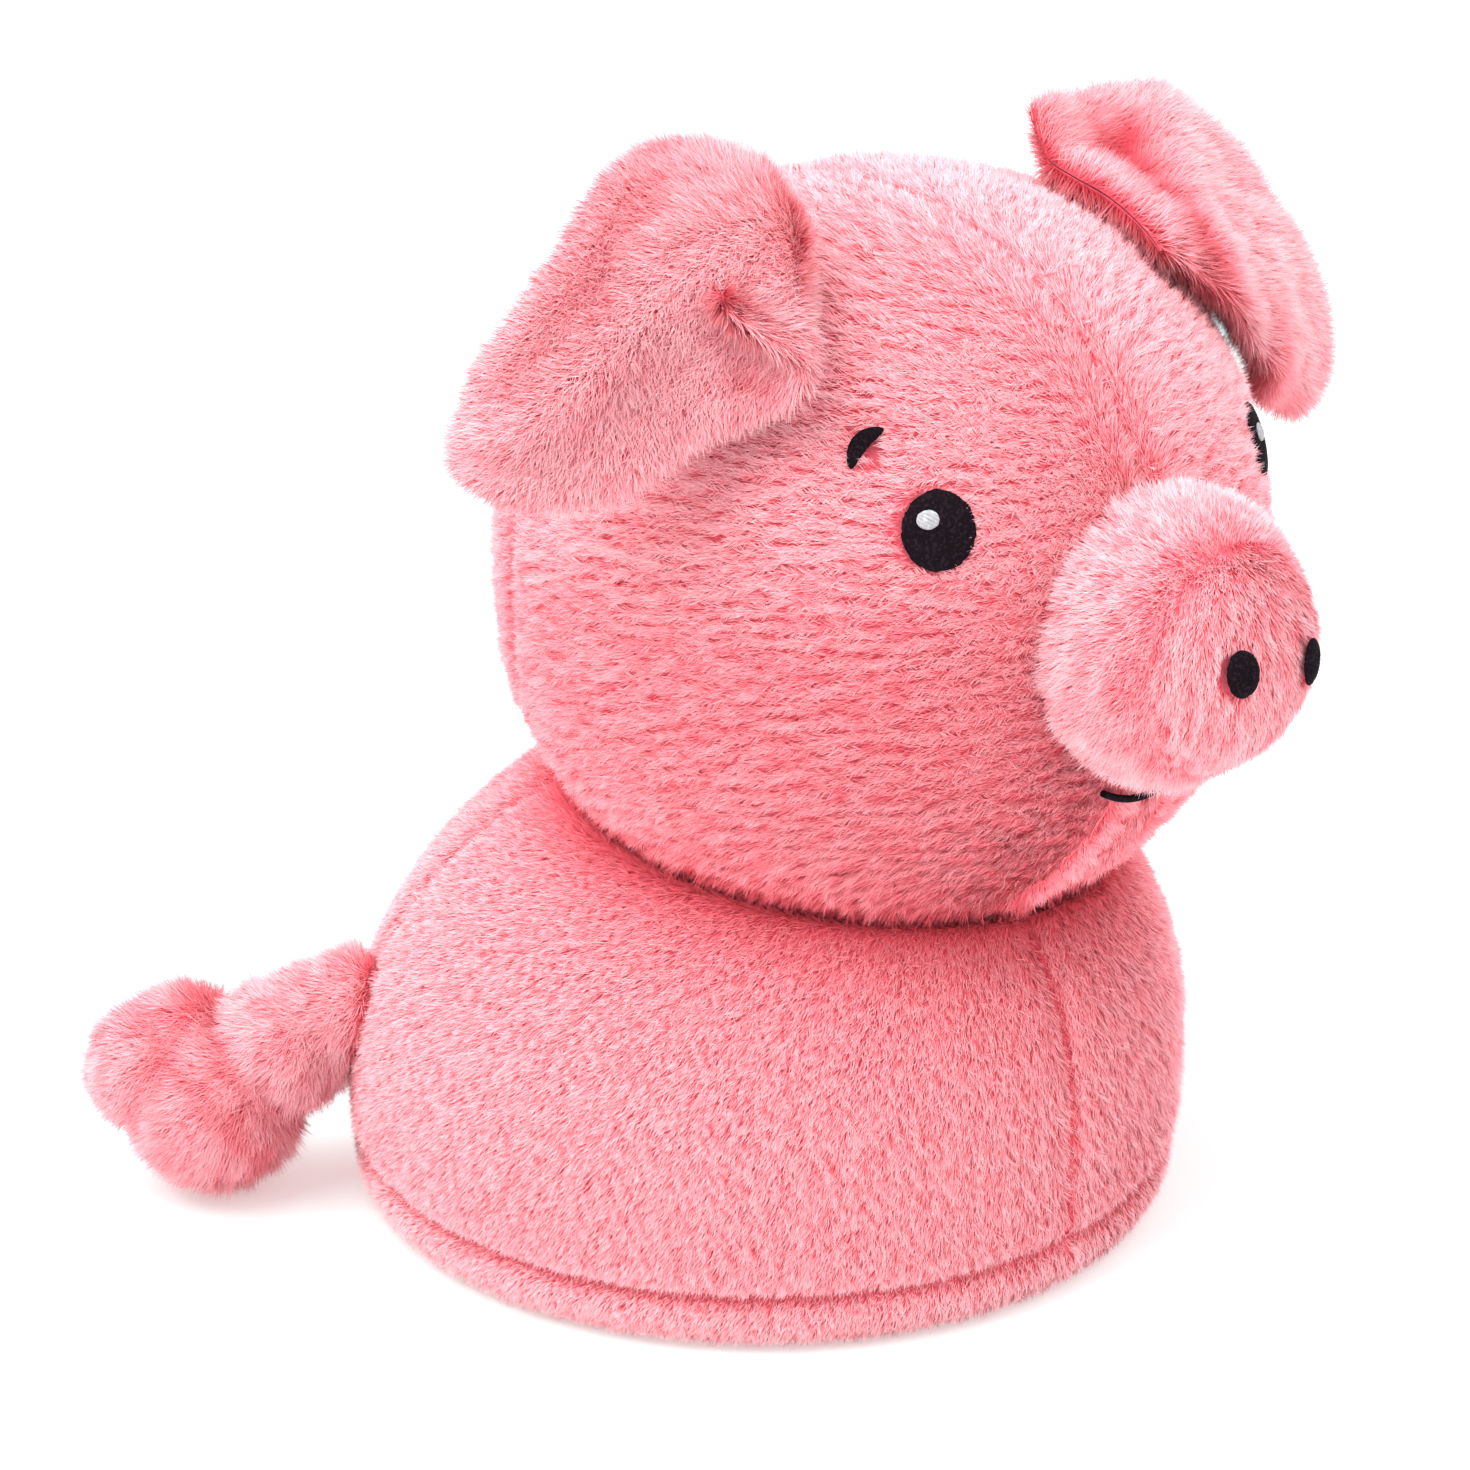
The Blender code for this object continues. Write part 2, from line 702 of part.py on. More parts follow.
def ear_middle(side, s, t):
    """A point between an ear's two cloths: s goes from its back edge to its front edge."""
    root = ear_root(side)
    bends = EAR_RIGHT_SHARES if side > 0.0 else EAR_LEFT_SHARES
    line = [root] + [root + ear_frame(side, shares) * EAR_LENGTH for shares in bends]
    at, way = bezier(line, t)
    turned = smooth(t / EAR_TURN_SHARE)
    run = ear_frame(side, EAR_ROOT_RUN_SHARES).lerp(ear_frame(side, EAR_RUN_SHARES), turned)
    run = (run - way * run.dot(way)).normalized()
    out = way.cross(run) * -side
    across = 2.0 * s - 1.0
    front = EAR_RIGHT_FRONT_WIDTH if side > 0.0 else EAR_LEFT_FRONT_WIDTH
    width = front if across > 0.0 else EAR_BACK_WIDTH
    point = at + run * (across * width * ear_width_share(t))
    return keep_off_head(point - out * (EAR_CUP * across * across * (1.0 - t)))


def ear_point(side, s, t, lift):
    """A point of an ear, lifted off its middle surface; t goes from root to tip."""
    across = ear_middle(side, s + EAR_STEP_SHARE, t) - ear_middle(side, s - EAR_STEP_SHARE, t)
    along = ear_middle(side, s, t + EAR_STEP_SHARE) - ear_middle(side, s, t - EAR_STEP_SHARE)
    return ear_middle(side, s, t) + across.cross(along).normalized() * (side * lift)


def ear_layer(name, side, layer, parent, origin):
    """One of the two cloths of an ear: layer is 1 outside and -1 inside."""

    def place(s, t):
        return ear_point(side, s, t, layer * GAP / 2.0)

    bm = sheet(EAR_STEPS, EAR_ROWS, place)
    middle = bm.faces[:][len(bm.faces) // 2]
    probe = ear_point(side, HALF_SHARE, HALF_SHARE, MM) - ear_point(side, HALF_SHARE, HALF_SHARE, 0.0)
    if middle.normal.dot(probe) * layer < 0.0:
        bmesh.ops.reverse_faces(bm, faces=bm.faces)
    return thicken(add_piece(name, bm, PLUSH_PINK, parent, origin), EAR_LAYER, outwards=True)


def ear(word, side, parent):
    """Two cloths that flap together about a seam just behind the ear's root."""
    seam = ear_middle(side, HALF_SHARE, EAR_HINGE_SHARE)
    hinge = pivot(f"ear_{word}_hinge", seam, parent)
    for layer, layer_word in ((1.0, "outer"), (-1.0, "inner")):
        piece = ear_layer(f"ear_{word}_{layer_word}", side, layer, hinge, seam)
        piece.location = (0.0, 0.0, 0.0)


# Tail, measured from its root


def tail_root():
    """The centre of the tail's round root, whose open end just clears the back seam."""
    rise = math.asin((TAIL_ROOT_HEIGHT - BODY_WAIST) / BODY_RISE)
    azimuth = math.pi - BACK_SEAM_TURN
    outwards = RIGHT * math.sin(azimuth) + FORWARD * math.cos(azimuth)
    return body_point(azimuth, rise, 0.0, False) + outwards * (TAIL_ROOT_RADIUS + GAP - TAIL_OPENING)


def tail_point(turn, t, inset):
    """A corkscrew that sinks to the floor: fat round slices, wound with a deep groove."""
    along = Vector((-math.sin(TAIL_SIDE_ANGLE), math.cos(TAIL_SIDE_ANGLE), 0.0))
    side = along.cross(UP)
    radius = between(TAIL_ROOT_RADIUS, TAIL_RADIUS, smooth(t / TAIL_GROWN_SHARE)) - inset
    length = TAIL_LENGTH - 2.0 * inset
    root_round = math.sqrt(max(1.0 - (1.0 - min(t * length / radius, 1.0)) ** 2, 0.0))
    tip_round = math.sqrt(max(1.0 - (1.0 - min((1.0 - t) * length / radius, 1.0)) ** 2, 0.0))
    grown = smooth(t / TAIL_GROWN_SHARE) * tip_round
    spin = TAIL_START + FULL_TURN * TAIL_TURNS * t
    off_groove = math.remainder(turn - spin, FULL_TURN) / FULL_TURN * TAIL_LENGTH / TAIL_TURNS
    groove = TAIL_GROOVE * grown * math.exp(-((off_groove / TAIL_GROOVE_WIDTH) ** 2))
    off = (side * math.cos(spin) + UP * math.sin(spin)) * (-TAIL_SWING * grown)
    ring = side * math.cos(turn) + UP * math.sin(turn)
    sink = TAIL_ROOT_HEIGHT - TAIL_RADIUS - TAIL_SWING - TAIL_FLOOR_GAP
    centre = along * (inset + t * length - TAIL_ROOT_RADIUS) + off
    centre -= UP * (sink * smooth(t / TAIL_GROWN_SHARE))
    return centre + ring * ((radius - groove) * root_round * tip_round)


def tail_row(share, start=0.0):
    """Rows that crowd together at both ends, where the tail is round."""
    return between(start, 1.0, (1.0 - math.cos(math.pi * share)) / 2.0)


def tail_cover(parent):
    """The tail's cloth: its outside from root to tip, then its inside back to the root."""
    shares = [tail_row(k / TAIL_ROWS, TAIL_OPENING / TAIL_LENGTH) for k in range(TAIL_ROWS + 1)]
    walls = [(share, 0.0) for share in shares] + [(share, CLOTH) for share in reversed(shares)]
    walls.append(walls[0])

    def place(s, t):
        share, inset = row_of(walls, t)
        return tail_point(FULL_TURN * s, share, inset)

    bm = sheet(TAIL_STEPS, len(walls) - 1, place)
    bmesh.ops.recalc_face_normals(bm, faces=bm.faces)
    return add_piece("tail_cover", bm, PLUSH_PINK, parent)


def tail_filling(parent):
    def place(s, t):
        return tail_point(FULL_TURN * s, tail_row(t), CLOTH + GAP + SEAM_DEPTH)

    bm = sheet(TAIL_FILLING_STEPS, TAIL_FILLING_ROWS, place)
    bmesh.ops.recalc_face_normals(bm, faces=bm.faces)
    return add_piece("tail_filling", bm, FIBRE_WHITE, parent)


def build_body():
    back_seam = math.pi - BACK_SEAM_TURN
    side_panel("chest_panel", -CHEST_SEAM_ANGLE, CHEST_SEAM_ANGLE, CHEST_STEPS)
    side_panel("side_panel_right", CHEST_SEAM_ANGLE, back_seam, RIGHT_SIDE_STEPS)
    side_panel("side_panel_left", back_seam - FULL_TURN, -CHEST_SEAM_ANGLE, LEFT_SIDE_STEPS)
    base_panel()
    body_filling()
    pellet_bag()


def build_head():
    neck = pivot("neck_pivot", HEAD_CENTRE)
    neck_ring(neck)
    head = pivot("head_pivot", Vector(), neck, -HEAD_TURN)
    head_panel("head_panel_right", 1.0, head)
    head_panel("head_panel_left", -1.0, head)
    head_back_panel(head)
    head_filling(head)
    snout_wall(head)
    snout_disc(head)
    snout_filling(head)
    mouth(head)
    for word, side in (("right", 1.0), ("left", -1.0)):
        eye(f"eye_{word}", side, head)
        glint(f"eye_highlight_{word}", side, head)
        brow(f"eyebrow_{word}", side, head)
        pad(f"nostril_{word}", NOSTRIL_WIDTH, NOSTRIL_HEIGHT, on_disc(side, GAP), THREAD_BLACK, head)
        ear(word, side, head)


def build_tail():
    root = pivot("tail_pivot", tail_root())
    tail_cover(root)
    tail_filling(root)


HEAD_CENTRE = Vector((0.0, -HEAD_FORWARD, HEAD_HEIGHT))
BODY_MIDDLE = Vector((0.0, 0.0, BODY_WAIST))

clear_scene()
parts = new_collection(COLLECTION_NAME)
build_body()
build_head()
build_tail()
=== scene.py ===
"""Looks of the sitting plush pig: cloth covers with a real pile, embroidery, camera and light.

Metres, +Z up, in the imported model's frame. Each cover is a sewn sheet of cloth. Its pile is
made of fine blades that stand on the cloth, lean along the nap and gather into tufts.
"""

import itertools
import json
import math

import bmesh
import bpy
import numpy as np
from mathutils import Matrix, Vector


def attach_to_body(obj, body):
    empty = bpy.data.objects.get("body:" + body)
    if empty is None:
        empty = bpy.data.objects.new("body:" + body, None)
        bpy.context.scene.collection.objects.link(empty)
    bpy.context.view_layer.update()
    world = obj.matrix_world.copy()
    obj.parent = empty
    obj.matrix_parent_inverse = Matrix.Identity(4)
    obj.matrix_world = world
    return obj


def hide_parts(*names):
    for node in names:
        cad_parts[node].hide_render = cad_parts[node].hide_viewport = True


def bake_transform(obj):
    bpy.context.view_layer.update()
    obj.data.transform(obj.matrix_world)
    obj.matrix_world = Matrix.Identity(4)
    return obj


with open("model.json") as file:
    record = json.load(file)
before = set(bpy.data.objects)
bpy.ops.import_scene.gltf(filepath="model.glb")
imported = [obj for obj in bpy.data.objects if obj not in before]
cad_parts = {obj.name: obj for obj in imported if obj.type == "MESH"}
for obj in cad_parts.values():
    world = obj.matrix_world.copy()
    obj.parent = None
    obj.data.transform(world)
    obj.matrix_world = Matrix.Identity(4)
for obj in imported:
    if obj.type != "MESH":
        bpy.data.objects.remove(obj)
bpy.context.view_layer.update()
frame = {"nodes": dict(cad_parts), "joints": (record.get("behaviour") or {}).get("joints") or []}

MM = 0.001
HALF_SHARE = 0.5
FULL_TURN = 2.0 * math.pi
UP = np.array((0.0, 0.0, 1.0))
FORWARD = np.array((0.0, -1.0, 0.0))
RIGHT = np.array((-1.0, 0.0, 0.0))


def joint_place(name):
    return np.array(next(joint["pos_m"] for joint in frame["joints"] if joint["name"] == name))


# Cloth and seams
PILE = 1.1 * MM
WALL = 0.7 * MM
WELD = 0.01 * MM
BODY_SEAM_DEPTH = 1.3 * MM
HEAD_SEAM_DEPTH = 0.5 * MM
RIM_SEAM_DEPTH = 0.7 * MM
SEAM_REACH = 1.5 * MM
SEAM_PART_REACH = 1.6 * MM
SEAM_LINE = 0.5 * MM
FLOOR_CLEARANCE = 0.1 * MM

# Body, as packed
BODY_RADIUS = 47.2 * MM
BODY_WAIST = 15.0 * MM
BODY_RISE = 42.2 * MM
BODY_LEAN = 4.6 * MM
BASE_DEPTH = 20.0 * MM
BASE_SEAM = 7.0 * MM
BASE_SQUARENESS = 5.0
CHEST_SEAM_ANGLE = math.radians(34.0)
BACK_SEAM_ANGLE = math.radians(165.0)
BODY_SEAMS = (CHEST_SEAM_ANGLE, -CHEST_SEAM_ANGLE, BACK_SEAM_ANGLE)
COLLAR_GAP = 0.4 * MM
CREASE_REACH = 2.6 * MM
NAP_TURN = 9.0 * MM
LIP_ANGLE = math.radians(9.0)

# Head, as packed
HEAD_CENTRE = joint_place("head_turn")
HEAD_RADIUS = 42.3 * MM
HEAD_TURN = math.radians(37.0)
JOWL_SWELL = 2.1 * MM
JOWL_TOP = math.radians(2.0)
JOWL_SPREAD = math.radians(34.0)
CROWN_DROP = 2.4 * MM
CROWN_START = math.radians(35.0)
NAPE_SEAM_ANGLE = math.radians(114.5)
SEAM_NAP_REACH = 11.0 * MM

# Snout, as packed
SNOUT_BASE_RADIUS = 15.7 * MM
SNOUT_RIM_RADIUS = 13.5 * MM
SNOUT_REACH = 51.0 * MM
SNOUT_SWELL = 1.1 * MM
SNOUT_DOME = 7.5 * MM

# Ears. Shares are of an ear's span and of its length
EAR_LENGTH = 43.5 * MM
EAR_SPAN = 26.0 * MM
EAR_ROOT_GAP = 0.5 * MM
EAR_ANGLE = math.radians(66.0)
EAR_ELEVATION = math.radians(56.0)
EAR_CUP = 4.0 * MM
EAR_REST_SOFTNESS = 1.2 * MM
EAR_LAYER = 1.5 * MM
EAR_STEP_SHARE = 0.01
EAR_PLUMPNESS = 1.7 * MM
EAR_CLOSE_SHARE = 0.12
EARS = {
    "right": {
        "side": 1.0,
        "bends": ((-0.25, 0.26, 0.21), (-0.02, 0.75, -0.25), (-0.17, 0.90, -0.20)),
        "runs": ((0.0, (0.77, 0.46, -0.43)), (0.6, (0.52, 0.0, -0.86))),
        "front": ((0.0, 14.5), (0.25, 17.2), (0.62, 12.4), (1.0, 7.0)),
        "back": ((0.0, 7.0), (0.22, 13.6), (0.5, 8.6), (0.75, 7.0), (1.0, 5.0)),
        "shift": ((0.0, 8.5), (0.13, -2.2), (0.42, 0.0)),
        "bulge": ((0.0, 0.0), (0.14, 4.5), (0.5, 2.0), (1.0, 0.0)),
        "folds": (
            ((0.50, 0.10), (0.58, 0.85), 3.4, 1.5),
            ((0.22, 0.30), (0.32, 0.72), 4.0, -0.8),
            ((0.94, 0.29), (0.88, 0.34), 2.8, -1.0),
            ((0.92, 0.42), (0.95, 0.62), 3.5, 0.8),
        ),
        # Painted shade in the ear's pockets and folds, given like the folds
        "creases": (
            ((0.94, 0.29), (0.88, 0.34), 2.0, 0.4),
            ((0.80, 0.25), (0.92, 0.48), 4.0, 0.1),
            ((0.22, 0.30), (0.32, 0.72), 4.0, 0.25),
        ),
    },
    "left": {
        "side": -1.0,
        "bends": ((0.02, 0.30, 0.03), (0.06, 0.64, -0.22), (0.04, 0.79, -0.69)),
        "runs": ((0.0, (0.77, 0.46, -0.43)), (0.55, (0.52, 0.0, -0.86)), (1.0, (0.15, -0.60, -0.70))),
        "front": ((0.0, 12.5), (0.25, 18.0), (0.62, 17.5), (1.0, 9.5)),
        "back": ((0.0, 8.8), (0.25, 11.0), (0.62, 6.8), (1.0, 5.0)),
        "shift": ((0.0, -4.5), (0.25, -1.0), (0.5, 0.0)),
        "bulge": ((0.0, 0.0), (1.0, 0.0)),
        "folds": (
            ((0.38, 0.12), (0.85, 0.12), 3.6, -5.0),
            ((0.00, 0.02), (0.50, 0.01), 2.4, 2.6),
            ((0.08, 0.27), (0.80, 0.27), 2.2, 1.6),
            ((0.20, 0.45), (0.70, 0.50), 4.0, -0.8),
        ),
        # Painted shade in the ear's pockets and folds, given like the folds
        "creases": (
            ((0.28, 0.13), (0.85, 0.14), 5.0, 0.95),
            ((0.25, 0.19), (0.75, 0.21), 1.5, 0.5),
            ((0.92, 0.62), (0.92, 0.92), 3.6, 0.6),
        ),
    },
}

# Tail: lobes of the curl as (along, up, side, radius) in millimetres from its root
TAIL_PIVOT = joint_place("tail_wag")
TAIL_SIDE_ANGLE = math.radians(15.0)
TAIL_LOBES = (
    (-9.4, 4.8, 0.0, 6.0),
    (-5.5, 3.0, 0.0, 6.3),
    (-1.5, 1.0, -1.0, 7.0),
    (6.1, -5.3, -0.5, 9.2),
    (13.0, -1.5, 0.5, 6.4),
    (9.5, 1.0, 1.5, 5.6),
)
TAIL_VOXEL = 0.7 * MM
TAIL_ROOT_GAP = 0.1 * MM
TAIL_BLEND = 9.0 * MM
TAIL_FILLING_INSET = 1.2 * MM
TAIL_CREASE = 1.9 * MM
TAIL_SHADE_DROP = 14.0 * MM

# Embroidery
EYE_WIDTH = 7.8 * MM
EYE_HEIGHT = 8.4 * MM
EYE_ANGLES = {1.0: math.radians(36.0), -1.0: math.radians(40.5)}
EYE_ELEVATIONS = {1.0: math.radians(20.5), -1.0: math.radians(16.5)}
GLINT_WIDTH = 2.4 * MM
GLINT_HEIGHT = 2.0 * MM
GLINT_SHARES = (0.15, 0.13)
BROW_LENGTH = 5.4 * MM
BROW_WIDTH = 1.9 * MM
BROW_ANGLES = {1.0: math.radians(47.0), -1.0: math.radians(60.0)}
BROW_ELEVATION = math.radians(32.0)
BROW_SLOPE = math.radians(52.0)
BROW_ARCH = 0.9 * MM
NOSTRIL_WIDTH = 3.5 * MM
NOSTRIL_HEIGHT = 5.1 * MM
NOSTRIL_SPACING = 10.4 * MM
NOSTRIL_RISE = 0.9 * MM
NOSTRIL_TILT = math.radians(8.0)
MOUTH_WIDTH = 13.0 * MM
MOUTH_RISE = 2.2 * MM
MOUTH_ELEVATION = math.radians(-25.0)
MOUTH_THICKNESS = 0.8 * MM
THREAD_PITCH = 0.36 * MM
STITCH_PITCH = 2.7 * MM
STITCH_REACH = 0.55 * MM

# Camera, at the photograph's angle
CAMERA_AZIMUTH = math.radians(-80.0)
CAMERA_ELEVATION = math.radians(23.0)
CAMERA_DISTANCE = 650.0 * MM
CAMERA_TARGET = np.array((-10.7, 1.4, 56.9)) * MM
FRAME_WIDTH = 158.8 * MM
SENSOR_WIDTH = 36.0


# Small mathematics


def smooth(share):
    share = np.clip(share, 0.0, 1.0)
    return share * share * (3.0 - 2.0 * share)


def between(start, end, share):
    return start + (end - start) * share


def unit(vectors):
    return vectors / np.maximum(np.linalg.norm(vectors, axis=-1, keepdims=True), 1e-12)


def column(values):
    return np.asarray(values, float)[:, None]


def stacked(*columns):
    return np.stack(np.broadcast_arrays(*columns), axis=-1)


def tangent(directions, normals):
    """Directions laid flat on a surface."""
    along = directions - normals * np.sum(directions * normals, axis=-1, keepdims=True)
    return unit(along)


def lattice(cells, seed):
    """A repeatable value from 0 to 1 for each whole cell."""
    x, y, z = (cells[..., k].astype(np.int64).astype(np.uint32) for k in range(3))
    mixed = x * np.uint32(374761393) + y * np.uint32(668265263) + z * np.uint32(2246822519)
    mixed = mixed + np.uint32(seed * 974711 % 2**32)
    mixed = (mixed ^ (mixed >> np.uint32(13))) * np.uint32(1274126177)
    mixed = mixed ^ (mixed >> np.uint32(16))
    return mixed / float(2**32)


def noise(spots, seed):
    """Smooth noise from -1 to 1, with one bump for each unit of the spots."""
    low = np.floor(spots)
    part = spots - low
    ease = part * part * (3.0 - 2.0 * part)
    total = np.zeros(len(spots))
    for corner in itertools.product((0, 1), repeat=3):
        weights = np.where(corner, ease, 1.0 - ease)
        total += np.prod(weights, axis=1) * lattice(low + corner, seed)
    return 2.0 * total - 1.0


def solve(is_past, low, high, steps=34):
    """For each item, the value between low and high where is_past turns true."""
    low, high = (np.array(edge, float) for edge in np.broadcast_arrays(low, high))
    for _ in range(steps):
        middle = between(low, high, HALF_SHARE)
        past = is_past(middle)
        high = np.where(past, middle, high)
        low = np.where(past, low, middle)
    return low


# Materials


def link(tree, *ends):
    for start, end in ends:
        tree.links.new(start, end)


def add_node(tree, kind, **values):
    """A shader node with some of its properties set."""
    node = tree.nodes.new(kind)
    for name, value in values.items():
        setattr(node, name, value)
    return node


def pile_tone_group():
    """Colour along one fibre: deep at its root as painted shade inside the pile, pale at its tip as a painted
    highlight, and varied from tuft to tuft.
    """
    group = bpy.data.node_groups.new("pile tone", "ShaderNodeTree")
    face = group.interface
    face.new_socket("Fibre", in_out="INPUT", socket_type="NodeSocketVector")
    for name in ("Root", "Body", "Tip"):
        face.new_socket(name, in_out="INPUT", socket_type="NodeSocketColor")
    face.new_socket("Color", in_out="OUTPUT", socket_type="NodeSocketColor")
    entry = add_node(group, "NodeGroupInput")
    leave = add_node(group, "NodeGroupOutput")
    split = add_node(group, "ShaderNodeSeparateXYZ")
    shade = add_node(group, "ShaderNodeMapRange")
    shade.inputs["To Min"].default_value = 0.1
    shade.inputs["To Max"].default_value = 1.5
    along = add_node(group, "ShaderNodeMath", operation="MULTIPLY")
    lower = add_node(group, "ShaderNodeMapRange", interpolation_type="SMOOTHSTEP")
    lower.inputs["From Min"].default_value = 0.0
    lower.inputs["From Max"].default_value = 0.55
    upper = add_node(group, "ShaderNodeMapRange", interpolation_type="SMOOTHSTEP")
    upper.inputs["From Min"].default_value = 0.35
    upper.inputs["From Max"].default_value = 1.0
    first = add_node(group, "ShaderNodeMix", data_type="RGBA")
    second = add_node(group, "ShaderNodeMix", data_type="RGBA")
    link(
        group,
        (entry.outputs["Fibre"], split.inputs[0]),
        (split.outputs["X"], shade.inputs["Value"]),
        (shade.outputs[0], along.inputs[0]),
        (split.outputs["Y"], along.inputs[1]),
        (along.outputs[0], lower.inputs["Value"]),
        (along.outputs[0], upper.inputs["Value"]),
        (lower.outputs[0], first.inputs["Factor"]),
        (entry.outputs["Root"], first.inputs["A"]),
        (entry.outputs["Body"], first.inputs["B"]),
        (upper.outputs[0], second.inputs["Factor"]),
        (first.outputs["Result"], second.inputs["A"]),
        (entry.outputs["Tip"], second.inputs["B"]),
        (second.outputs["Result"], leave.inputs["Color"]),
    )
    return group


def new_material(name, roughness):
    material = bpy.data.materials.new(name)
    material.use_nodes = True
    shader = material.node_tree.nodes["Principled BSDF"]
    shader.inputs["Roughness"].default_value = roughness
    return material, material.node_tree, shader


def pile_material(name, root, body, tip, sheen):
    material, tree, shader = new_material(name, 0.9)
    shader.inputs["Sheen Weight"].default_value = sheen
    shader.inputs["Sheen Roughness"].default_value = 0.5
    shader.inputs["Sheen Tint"].default_value = (1.0, 0.8, 0.82, 1.0)
    shader.inputs["Specular IOR Level"].default_value = 0.05
    fibre = add_node(tree, "ShaderNodeUVMap", uv_map="OFBake")
    tone = add_node(tree, "ShaderNodeGroup", node_tree=pile_tone)
    for socket, colour in (("Root", root), ("Body", body), ("Tip", tip)):
        tone.inputs[socket].default_value = (*colour, 1.0)
    link(
        tree,
        (fibre.outputs["UV"], tone.inputs["Fibre"]),
        (tone.outputs["Color"], shader.inputs["Base Color"]),
    )
    return material


def cloth_material(name, colour):
    """The knitted backing that the pile stands on."""
    material, tree, shader = new_material(name, 0.95)
    place = add_node(tree, "ShaderNodeTexCoord")
    grain = add_node(tree, "ShaderNodeTexNoise")
    grain.inputs["Scale"].default_value = 1400.0
    ramp = add_node(tree, "ShaderNodeMix", data_type="RGBA")
    ramp.inputs["A"].default_value = (*[part * 0.75 for part in colour], 1.0)
    ramp.inputs["B"].default_value = (*colour, 1.0)
    bump = add_node(tree, "ShaderNodeBump")
    bump.inputs["Distance"].default_value = 0.2 * MM
    link(
        tree,
        (place.outputs["Object"], grain.inputs["Vector"]),
        (grain.outputs["Fac"], ramp.inputs["Factor"]),
        (ramp.outputs["Result"], shader.inputs["Base Color"]),
        (grain.outputs["Fac"], bump.inputs["Height"]),
        (bump.outputs["Normal"], shader.inputs["Normal"]),
    )
    return material


def thread_material(name, dark, light, roughness):
    """Satin thread, a little paler where a strand catches the light."""
    material, tree, shader = new_material(name, roughness)
    shader.inputs["Specular IOR Level"].default_value = 0.1
    place = add_node(tree, "ShaderNodeTexCoord")
    grain = add_node(tree, "ShaderNodeTexNoise")
    grain.inputs["Scale"].default_value = 2600.0
    grain.inputs["Detail"].default_value = 4.0
    tone = add_node(tree, "ShaderNodeMapRange")
    tone.inputs["From Min"].default_value = 0.5
    tone.inputs["From Max"].default_value = 0.72
    mix = add_node(tree, "ShaderNodeMix", data_type="RGBA")
    mix.inputs["A"].default_value = (*dark, 1.0)
    mix.inputs["B"].default_value = (*light, 1.0)
    link(
        tree,
        (place.outputs["Object"], grain.inputs["Vector"]),
        (grain.outputs["Fac"], tone.inputs["Value"]),
        (tone.outputs[0], mix.inputs["Factor"]),
        (mix.outputs["Result"], shader.inputs["Base Color"]),
    )
    return material


# Sheets of cloth


def bent_sheet(across, along, place, inside=None):
    """A grid bent by place(s, t), welded where it meets itself, looking away from inside."""
    bm = bmesh.new()
    bmesh.ops.create_grid(bm, x_segments=across, y_segments=along, size=HALF_SHARE)
    flat = np.array([vert.co for vert in bm.verts]) + HALF_SHARE
    spots = place(flat[:, 0], flat[:, 1])
    weft = bm.verts.layers.float_vector.new("weft")
    for vert, spot, share in zip(bm.verts, spots, flat):
        vert.co = spot
        vert[weft] = (share[0], share[1], 0.0)
    bmesh.ops.remove_doubles(bm, verts=bm.verts, dist=WELD)
    bare = [edge for edge in bm.edges if not edge.link_faces]
    bmesh.ops.delete(bm, geom=bare, context="EDGES")
    bm.normal_update()
    if inside is not None:
        middle = Vector(inside)
        looks = sum(f.normal.dot(f.calc_center_median() - middle) * f.calc_area() for f in bm.faces)
        if looks < 0.0:
            bmesh.ops.reverse_faces(bm, faces=bm.faces)
    return bm


def add_object(name, bm, material):
    mesh = bpy.data.meshes.new(name)
    bm.to_mesh(mesh)
    bm.free()
    mesh.shade_smooth()
    mesh.materials.append(material)
    made = bpy.data.objects.new(name, mesh)
    bpy.context.scene.collection.objects.link(made)
    return made


def attach(piece, body):
    """Ride a body; a piece that crosses a joint, given as (body, body, start, end), only has its transform baked."""
    if isinstance(body, str):
        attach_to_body(piece, body)
    else:
        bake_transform(piece)


def cover(name, bm, body, nodes, wall=WALL):
    """A cloth cover with its wall on the inside, in place of the CAD nodes."""
    made = add_object(name, bm, materials["backing"])
    shell = made.modifiers.new("wall", "SOLIDIFY")
    shell.thickness = wall
    shell.offset = -1.0
    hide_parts(*nodes)
    attach(made, body)
    return made


# Pile


def blade(rows):
    """One fibre's outline: x from -0.5 to 0.5 across it and y from 0 at its root to 1 at its tip."""
    bm = bmesh.new()
    bmesh.ops.create_grid(bm, x_segments=1, y_segments=rows, size=HALF_SHARE)
    bmesh.ops.translate(bm, verts=bm.verts, vec=(0.0, HALF_SHARE, 0.0))
    tip = [vert for vert in bm.verts if vert.co.y > 1.0 - WELD]
    bmesh.ops.pointmerge(bm, verts=tip, merge_co=(0.0, 1.0, 0.0))
    bmesh.ops.triangulate(bm, faces=bm.faces)
    bm.verts.index_update()
    outline = np.array([(vert.co.x, vert.co.y) for vert in bm.verts])
    faces = np.array([[vert.index for vert in face.verts] for face in bm.faces])
    bm.free()
    return outline, faces


